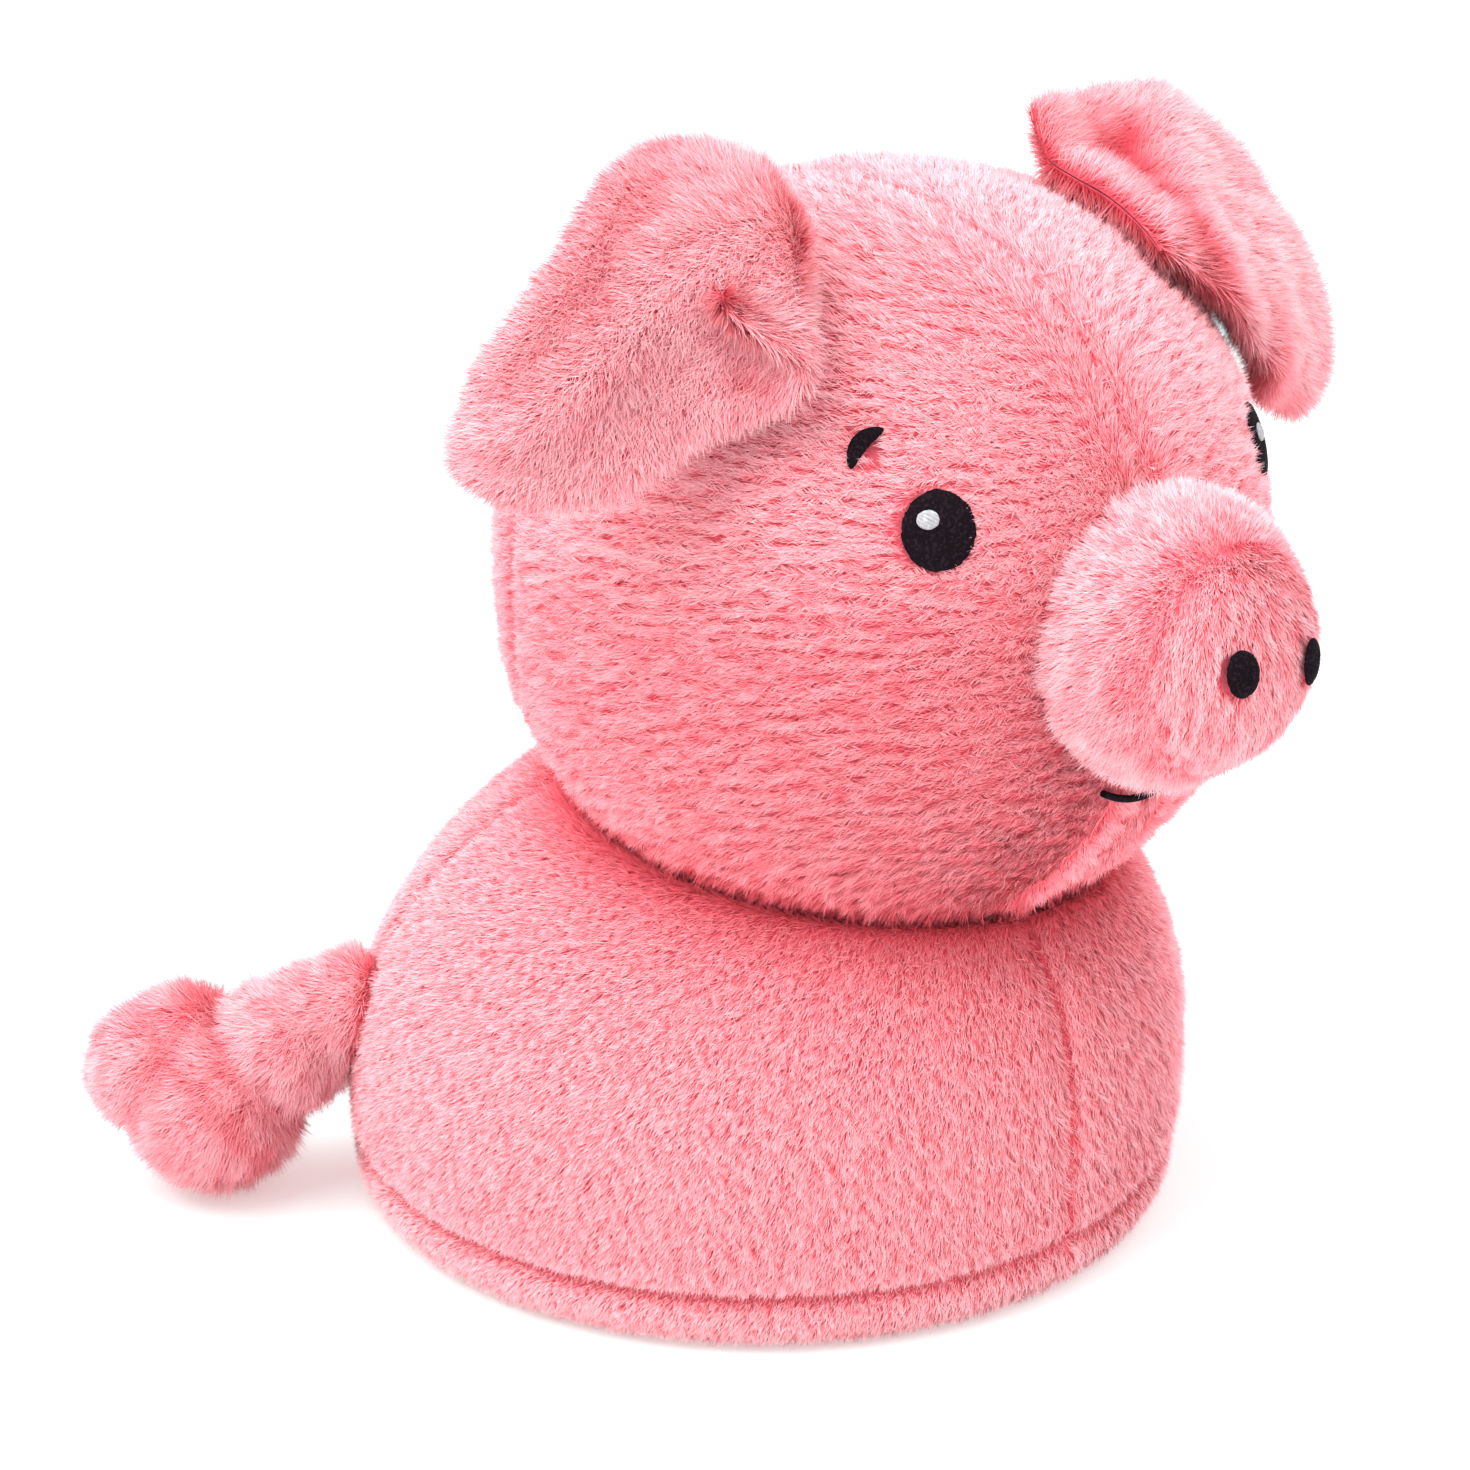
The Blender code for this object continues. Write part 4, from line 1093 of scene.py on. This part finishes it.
def ear_nap(ear):
    def nap(spots, normals, weft):
        """Towards the tip, and outwards to both edges."""
        s, t = weft[:, 0], np.clip(weft[:, 1], 0.02, 0.98)
        along = ear_point(ear, s, t + 0.02, 0.0 * s) - ear_point(ear, s, t - 0.02, 0.0 * s)
        across = ear_point(ear, s + 0.02, t, 0.0 * s) - ear_point(ear, s - 0.02, t, 0.0 * s)
        return unit(along) + unit(across) * column((2.0 * s - 1.0) * 0.9)

    return nap


def ear_painted_shade(ear):
    def painted_shade(spots, weft):
        # Painted shade in the pockets and folds of the ear.
        return np.clip(fold_lift(ear["creases"], weft[:, 0], weft[:, 1]) / MM, 0.0, 1.0)

    return painted_shade


def ear_grain(spots, weft):
    return stacked(weft[:, 0] * EAR_SPAN / (1.0 * MM), weft[:, 1] * EAR_LENGTH / (2.6 * MM), 0.0 * weft[:, 0])


def make_ear(word, seed):
    ear = EARS[word]
    name = f"ear_{word}"
    root = from_head(ear_root(ear)[None])[0]
    outwards = unit(root - HEAD_CENTRE)
    body = ("head", name, root - outwards * MM, root + outwards * 7.0 * MM)
    for layer, layer_word in ((1.0, "outer"), (-1.0, "inner")):

        def place(s, t):
            turned = (1.0 - np.cos(math.pi * s)) / 2.0
            closed = 1.0 - np.clip(1.0 - t / EAR_CLOSE_SHARE, 0.0, 1.0) ** 2
            full = np.sin(math.pi * s) * np.sqrt(np.clip(1.0 - t**6, 0.0, 1.0) * closed)
            return ear_point(ear, turned, t, layer * (0.1 * MM + EAR_PLUMPNESS * full))

        bm = bent_sheet(44, 60, place)
        weft = bm.verts.layers.float_vector["weft"]
        for vert in bm.verts:
            vert[weft] = ((1.0 - math.cos(math.pi * vert[weft][0])) / 2.0, vert[weft][1], 0.0)
        half = np.full(1, HALF_SHARE)
        probe = ear_point(ear, half, half, np.full(1, layer * MM)) - ear_point(ear, half, half, 0.0 * half)
        middle = min(bm.faces, key=lambda face: (face.verts[0][weft] - Vector((0.5, 0.5, 0.0))).length)
        if middle.normal.dot(Vector(probe[0])) < 0.0:
            bmesh.ops.reverse_faces(bm, faces=bm.faces)
        node = f"{name}_{layer_word}"
        piece = cover(f"{node}_cloth", bm, body, [node], wall=0.08 * MM)
        grow(piece, f"{node}_pile", LONG, ear_nap(ear), ear_grain, body, None, ear_painted_shade(ear), seed + int(layer))


# Tail


def tail_axes():
    along = np.array((-math.sin(TAIL_SIDE_ANGLE), math.cos(TAIL_SIDE_ANGLE), 0.0))
    return along, np.cross(along, UP)


def body_reach(height):
    """How far the body's surface is from its axis at a height."""
    above = np.clip((height - BODY_WAIST) / BODY_RISE, 0.0, 1.0)
    below = np.clip((BODY_WAIST - height) / BASE_DEPTH, 0.0, 1.0) ** BASE_SQUARENESS
    return BODY_RADIUS * np.where(height > BODY_WAIST, np.sqrt(1.0 - above**2), (1.0 - below) ** (1.0 / BASE_SQUARENESS))


def seat_on_body(mesh):
    """Lay the tail's root against the body instead of through it."""
    spots = np.array([vert.co for vert in mesh.vertices])
    level = np.stack((spots[:, 0], spots[:, 1] + body_lean(spots[:, 2])), axis=1)
    out = np.linalg.norm(level, axis=1)
    least = body_reach(spots[:, 2]) - PILE + TAIL_ROOT_GAP
    level = level * column(np.maximum(out, least) / out)
    spots[:, 0] = level[:, 0]
    spots[:, 1] = level[:, 1] - body_lean(spots[:, 2])
    mesh.vertices.foreach_set("co", spots.reshape(-1))


def tail_mesh(inset=0.0):
    """The lobes of the curl, grown together."""
    along, side = tail_axes()
    bm = bmesh.new()
    for forth, rise, aside, radius in TAIL_LOBES:
        middle = TAIL_PIVOT + (along * forth + UP * rise + side * aside) * MM
        lobe = bmesh.ops.create_icosphere(bm, subdivisions=4, radius=radius * MM - inset)
        bmesh.ops.translate(bm, verts=lobe["verts"], vec=middle)
    lobes = add_object("tail_lobes", bm, materials["backing"])
    union = lobes.modifiers.new("union", "REMESH")
    union.mode = "VOXEL"
    union.voxel_size = TAIL_VOXEL
    soften = lobes.modifiers.new("soften", "SMOOTH")
    soften.iterations = 5
    mesh = bpy.data.meshes.new_from_object(lobes.evaluated_get(bpy.context.evaluated_depsgraph_get()))
    bpy.data.objects.remove(lobes)
    seat_on_body(mesh)
    return mesh


def tail_painted_shade(spots, weft):
    """Painted shade in the creases between one lobe and the next, and on the side that is turned down."""
    along, side = tail_axes()
    deep = smooth((TAIL_PIVOT[2] - 2.0 * MM - spots[:, 2]) / TAIL_SHADE_DROP) * 0.5
    lobes = [(TAIL_PIVOT + (along * a + UP * b + side * c) * MM, r * MM) for a, b, c, r in TAIL_LOBES[2:]]
    for (first, near), (second, far) in zip(lobes, lobes[1:]):
        apart = np.linalg.norm(second - first)
        power = np.sum((spots - first) ** 2, axis=1) - near**2 - np.sum((spots - second) ** 2, axis=1) + far**2
        deep = np.maximum(deep, 0.5 * np.exp(-((power / (2.0 * apart * TAIL_CREASE)) ** 2)))
    return deep


def make_tail():
    along, side = tail_axes()
    body = ("body", "tail", TAIL_PIVOT - along * TAIL_BLEND, TAIL_PIVOT + along * 0.3 * TAIL_BLEND)
    mesh = tail_mesh()
    bm = bmesh.new()
    bm.from_mesh(mesh)
    piece = cover("tail_cloth", bm, body, ["tail_cover"])

    def nap(spots, normals, weft):
        return np.broadcast_to(along - UP * 0.7 + side * 0.2, spots.shape)

    def keep(spots, weft):
        level = np.stack((spots[:, 0], spots[:, 1] + body_lean(spots[:, 2])), axis=1)
        clear = np.linalg.norm(level, axis=1) - body_reach(spots[:, 2]) + PILE
        return smooth((clear - 0.2 * MM) / (1.4 * MM))

    bm = bmesh.new()
    bm.from_mesh(tail_mesh(TAIL_FILLING_INSET))
    stuffing = add_object("tail_stuffing", bm, materials["fibre"])
    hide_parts("tail_filling")
    attach(stuffing, body)
    grow(piece, "tail_pile", LONG, nap, soft_grain(1.7 * MM, 1.3), body, keep, tail_painted_shade, 41)


# Embroidery


def satin_patch(name, node, wide, high, place, material, body="head", slant=0.5, dome=0.5 * MM):
    """An oval of thread, domed, with a ridge for each strand."""
    bm = bmesh.new()
    bmesh.ops.create_uvsphere(bm, u_segments=96, v_segments=40, radius=1.0)
    flat = np.array([vert.co for vert in bm.verts])
    lines = (flat[:, 0] * math.sin(slant) * wide + flat[:, 1] * math.cos(slant) * high) / 2.0
    ridge = np.abs(np.sin(math.pi * lines / THREAD_PITCH))
    frayed = 1.0 + 0.05 * (lattice(stacked(np.round(lines / THREAD_PITCH), 0.0 * lines, 0.0 * lines), 3) - 0.5)
    lift = flat[:, 2] * dome + np.maximum(flat[:, 2], 0.0) * ridge * THREAD_PITCH * 0.4
    spots = place(flat[:, 0] * wide / 2.0 * frayed, flat[:, 1] * high / 2.0 * frayed, lift)
    for vert, spot in zip(bm.verts, spots):
        vert.co = spot
    bmesh.ops.recalc_face_normals(bm, faces=bm.faces)
    made = add_object(name, bm, materials[material])
    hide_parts(node)
    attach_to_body(made, body)
    return made


def lifted(surface, lift):
    """surface(across, up, height) from a function that lays offsets on the head."""

    def place(across, up, height):
        low, high = surface(0.0)(across, up), surface(MM)(across, up)
        return low + (high - low) * column((height + lift) / MM)

    return place


def on_disc(side):
    line = RIGHT * math.cos(NOSTRIL_TILT) + UP * math.sin(NOSTRIL_TILT)

    def place(across, up, height):
        lateral = line * (side * NOSTRIL_SPACING / 2.0)
        spots = lateral - np.multiply.outer(across, RIGHT) + np.multiply.outer(NOSTRIL_RISE + up, UP)
        reach = dome_reach(np.linalg.norm(spots, axis=1))
        return from_head(spots + np.multiply.outer(reach + height, FORWARD))

    return place


def thread_line(name, node, points, thickness):
    """A line of stitching that follows a few points."""
    curve = bpy.data.curves.new(name, "CURVE")
    curve.dimensions = "3D"
    curve.bevel_depth = thickness / 2.0
    curve.bevel_resolution = 3
    curve.use_fill_caps = True
    spline = curve.splines.new("POLY")
    spline.points.add(len(points) - 1)
    for place, point in zip(spline.points, points):
        place.co = (*point, 1.0)
    curve.materials.append(materials["black thread"])
    made = bpy.data.objects.new(name, curve)
    bpy.context.scene.collection.objects.link(made)
    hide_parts(node)
    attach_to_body(made, "head")
    return made


def make_face():
    for side, word in ((1.0, "right"), (-1.0, "left")):

        def eye_surface(lift, side=side):
            return on_head(side * EYE_ANGLES[side], EYE_ELEVATIONS[side], lift)

        def brow_surface(lift, side=side):
            return on_head(side * BROW_ANGLES[side], BROW_ELEVATION, lift)

        eye_place = lifted(eye_surface, -0.5 * MM)
        satin_patch(
            f"eye_stitching_{word}", f"eye_{word}", EYE_WIDTH, EYE_HEIGHT, eye_place, "black thread"
        )

        def glint_place(across, up, height, eye_place=eye_place):
            shift = across - GLINT_SHARES[0] * EYE_WIDTH
            return eye_place(shift, up + GLINT_SHARES[1] * EYE_HEIGHT, height + 0.55 * MM)

        satin_patch(
            f"eye_glint_{word}",
            f"eye_highlight_{word}",
            GLINT_WIDTH,
            GLINT_HEIGHT,
            glint_place,
            "white thread",
            dome=0.3 * MM,
        )

        def brow_place(across, up, height, side=side, brow_surface=brow_surface):
            bow = BROW_ARCH * (1.0 - (2.0 * across / BROW_LENGTH) ** 2)
            run, rise = across, up + bow
            level = run * math.cos(BROW_SLOPE) - rise * math.sin(BROW_SLOPE)
            upright = run * math.sin(BROW_SLOPE) + rise * math.cos(BROW_SLOPE)
            return lifted(brow_surface, -0.3 * MM)(side * level, upright, height)

        satin_patch(
            f"brow_stitching_{word}",
            f"eyebrow_{word}",
            BROW_LENGTH,
            BROW_WIDTH,
            brow_place,
            "black thread",
            slant=1.3,
        )
        satin_patch(
            f"nostril_stitching_{word}",
            f"nostril_{word}",
            NOSTRIL_WIDTH,
            NOSTRIL_HEIGHT,
            on_disc(side),
            "black thread",
        )
    mouth = on_head(0.0, MOUTH_ELEVATION, 0.0)
    across = np.linspace(-1.0, 1.0, 25)
    points = mouth(across * MOUTH_WIDTH / 2.0, MOUTH_RISE * across**2)
    thread_line("mouth_stitching", "mouth", points, MOUTH_THICKNESS)


# Filling, hidden inside


def make_filling():
    """The CAD fillings keep their shape: they are sealed in, and only get their own finish."""
    for name, node in frame["nodes"].items():
        if name in ("body_filling", "head_filling", "snout_filling", "pellet_bag", "neck_seam_ring"):
            look = "fibre"
            if name == "pellet_bag":
                look = "pellet cloth"
            if name == "neck_seam_ring":
                look = "backing"
            node.data.materials.clear()
            node.data.materials.append(materials[look])


# Camera and studio


def make_camera():
    data = bpy.data.cameras.new("camera")
    data.sensor_width = SENSOR_WIDTH
    data.lens = SENSOR_WIDTH * CAMERA_DISTANCE / FRAME_WIDTH
    data.clip_start, data.clip_end = 10.0 * MM, 20.0
    camera = bpy.data.objects.new("camera", data)
    level = math.cos(CAMERA_ELEVATION)
    back = Vector(
        (
            math.sin(CAMERA_AZIMUTH) * level,
            -math.cos(CAMERA_AZIMUTH) * level,
            math.sin(CAMERA_ELEVATION),
        )
    )
    camera.location = Vector(CAMERA_TARGET) + back * CAMERA_DISTANCE
    camera.rotation_euler = (-back).to_track_quat("-Z", "Y").to_euler()
    bpy.context.scene.collection.objects.link(camera)
    bpy.context.scene.camera = camera


def lamp(name, azimuth, elevation, distance, size, power):
    """A square soft box that looks at the pig. Azimuth as for the camera."""
    data = bpy.data.lights.new(name, "AREA")
    data.shape = "SQUARE"
    data.size = size
    data.energy = power
    made = bpy.data.objects.new(name, data)
    azimuth, elevation = math.radians(azimuth), math.radians(elevation)
    level = math.cos(elevation)
    back = Vector((math.sin(azimuth) * level, -math.cos(azimuth) * level, math.sin(elevation)))
    made.location = Vector(CAMERA_TARGET) + back * distance
    made.rotation_euler = (-back).to_track_quat("-Z", "Y").to_euler()
    bpy.context.scene.collection.objects.link(made)


def make_studio():
    bm = bmesh.new()
    bmesh.ops.create_grid(bm, x_segments=1, y_segments=1, size=6.0)
    material, tree, shader = new_material("studio floor", 1.0)
    shader.inputs["Specular IOR Level"].default_value = 0.0
    # Seen by the camera, the floor glows to white where lit; its pink glow over a pale cyan base makes its shadows
    # pink, painted light standing in for the pig's pink bounce light.
    shader.inputs["Emission Color"].default_value = (0.68, 0.45, 0.45, 1.0)
    path = add_node(tree, "ShaderNodeLightPath")
    seen = add_node(tree, "ShaderNodeMath", operation="MAXIMUM")
    shown = add_node(tree, "ShaderNodeMath", operation="MAXIMUM")
    paint = add_node(tree, "ShaderNodeMix", data_type="RGBA")
    paint.inputs["A"].default_value = (0.92, 0.88, 0.88, 1.0)
    paint.inputs["B"].default_value = (0.35, 0.58, 0.58, 1.0)
    link(
        tree,
        (path.outputs["Is Camera Ray"], seen.inputs[0]),
        (path.outputs["Is Transmission Ray"], seen.inputs[1]),
        (seen.outputs[0], shown.inputs[0]),
        (path.outputs["Is Glossy Ray"], shown.inputs[1]),
        (shown.outputs[0], paint.inputs["Factor"]),
        (paint.outputs["Result"], shader.inputs["Base Color"]),
        (shown.outputs[0], shader.inputs["Emission Strength"]),
    )
    floor = add_object("studio_floor", bm, material)

    world = bpy.data.worlds.new("studio")
    bpy.context.scene.world = world
    world.use_nodes = True
    tree = world.node_tree
    background = tree.nodes["Background"]
    background.inputs["Color"].default_value = (1.0, 1.0, 1.0, 1.0)
    path = add_node(tree, "ShaderNodeLightPath")
    seen = add_node(tree, "ShaderNodeMath", operation="MAXIMUM")
    shown = add_node(tree, "ShaderNodeMath", operation="MAXIMUM")
    level = add_node(tree, "ShaderNodeMapRange")
    level.inputs["To Max"].default_value = 1.0
    place = add_node(tree, "ShaderNodeTexCoord")
    split = add_node(tree, "ShaderNodeSeparateXYZ")
    sky = add_node(tree, "ShaderNodeMapRange")
    sky.inputs["To Min"].default_value = HORIZON_LEVEL
    sky.inputs["To Max"].default_value = ZENITH_LEVEL
    link(
        tree,
        (place.outputs["Generated"], split.inputs[0]),
        (split.outputs["Z"], sky.inputs["Value"]),
        (sky.outputs[0], level.inputs["To Min"]),
        (path.outputs["Is Camera Ray"], seen.inputs[0]),
        (path.outputs["Is Transmission Ray"], seen.inputs[1]),
        (seen.outputs[0], shown.inputs[0]),
        (path.outputs["Is Glossy Ray"], shown.inputs[1]),
        (shown.outputs[0], level.inputs["Value"]),
        (level.outputs[0], background.inputs["Strength"]),
    )
    for spot in LAMPS:
        lamp(*spot)
    bpy.context.scene.view_settings.view_transform = "Standard"


HORIZON_LEVEL = 0.42
ZENITH_LEVEL = 1.5
LAMPS = (
    ("key_light", -145.0, 60.0, 0.9, 0.8, 10.0),
    ("front_light", -25.0, 42.0, 1.2, 0.9, 5.5),
)

pile_tone = pile_tone_group()
# Deep red roots are painted shade inside the pile; pale tips are a painted highlight on the fibre ends.
PINK_ROOT = (0.80, 0.085, 0.12)
PINK_BODY = (0.98, 0.36, 0.41)
PINK_TIP = (1.0, 0.64, 0.68)
materials = {
    # The backing's deep red is painted shade, for the cloth seen between the roots and in the seams.
    "backing": cloth_material("plush backing", (0.66, 0.09, 0.13)),
    "short pile": pile_material("short pile", PINK_ROOT, PINK_BODY, PINK_TIP, 0.12),
    "long pile": pile_material("long pile", PINK_ROOT, PINK_BODY, PINK_TIP, 0.12),
    "black thread": thread_material("black thread", (0.005, 0.002, 0.004), (0.022, 0.011, 0.018), 0.85),
    "white thread": thread_material("white thread", (0.38, 0.38, 0.40), (0.58, 0.58, 0.61), 0.5),
    "fibre": cloth_material("stuffing fibre", (0.85, 0.84, 0.82)),
    "pellet cloth": cloth_material("pellet bag cloth", (0.55, 0.54, 0.52)),
}

SHORT = {
    "density": 30.0,
    "length": 1.65 * MM,
    "width": 0.15 * MM,
    "lean": 1.12,
    "spread": 0.2,
    "ripple": 0.3,
    "sway": 0.3,
    "twist": 0.4,
    "gather": 0.35,
    "uneven": 0.12,
    "tuft": 1.0 * MM,
    "softness": 1.4,
    "contrast": 0.26,
    "shade": 0.58,
    "rows": 1,
    "material": "short pile",
    "slot": "plush",
}
LONG = dict(SHORT, density=36.0, length=2.6 * MM, lean=0.98, spread=0.28, sway=0.5, material="long pile")
# The long pile's fibres are paler than the short pile's: painted light on the ears and tail, whose sides the lamps
# leave dim.
LONG.update(gather=0.4, shade=0.64, contrast=0.22)
WALL_PILE = dict(LONG, length=2.1 * MM, gather=0.35, shade=0.6, lean=1.05)
FINE = dict(SHORT, length=1.5 * MM, gather=0.2, contrast=0.14)
DISC = dict(SHORT, density=34.0, length=1.5 * MM, slot="snout_plush")

make_camera()
make_body()
make_head()
make_snout()
make_ear("right", 51)
make_ear("left", 55)
make_tail()
make_face()
make_filling()
make_studio()
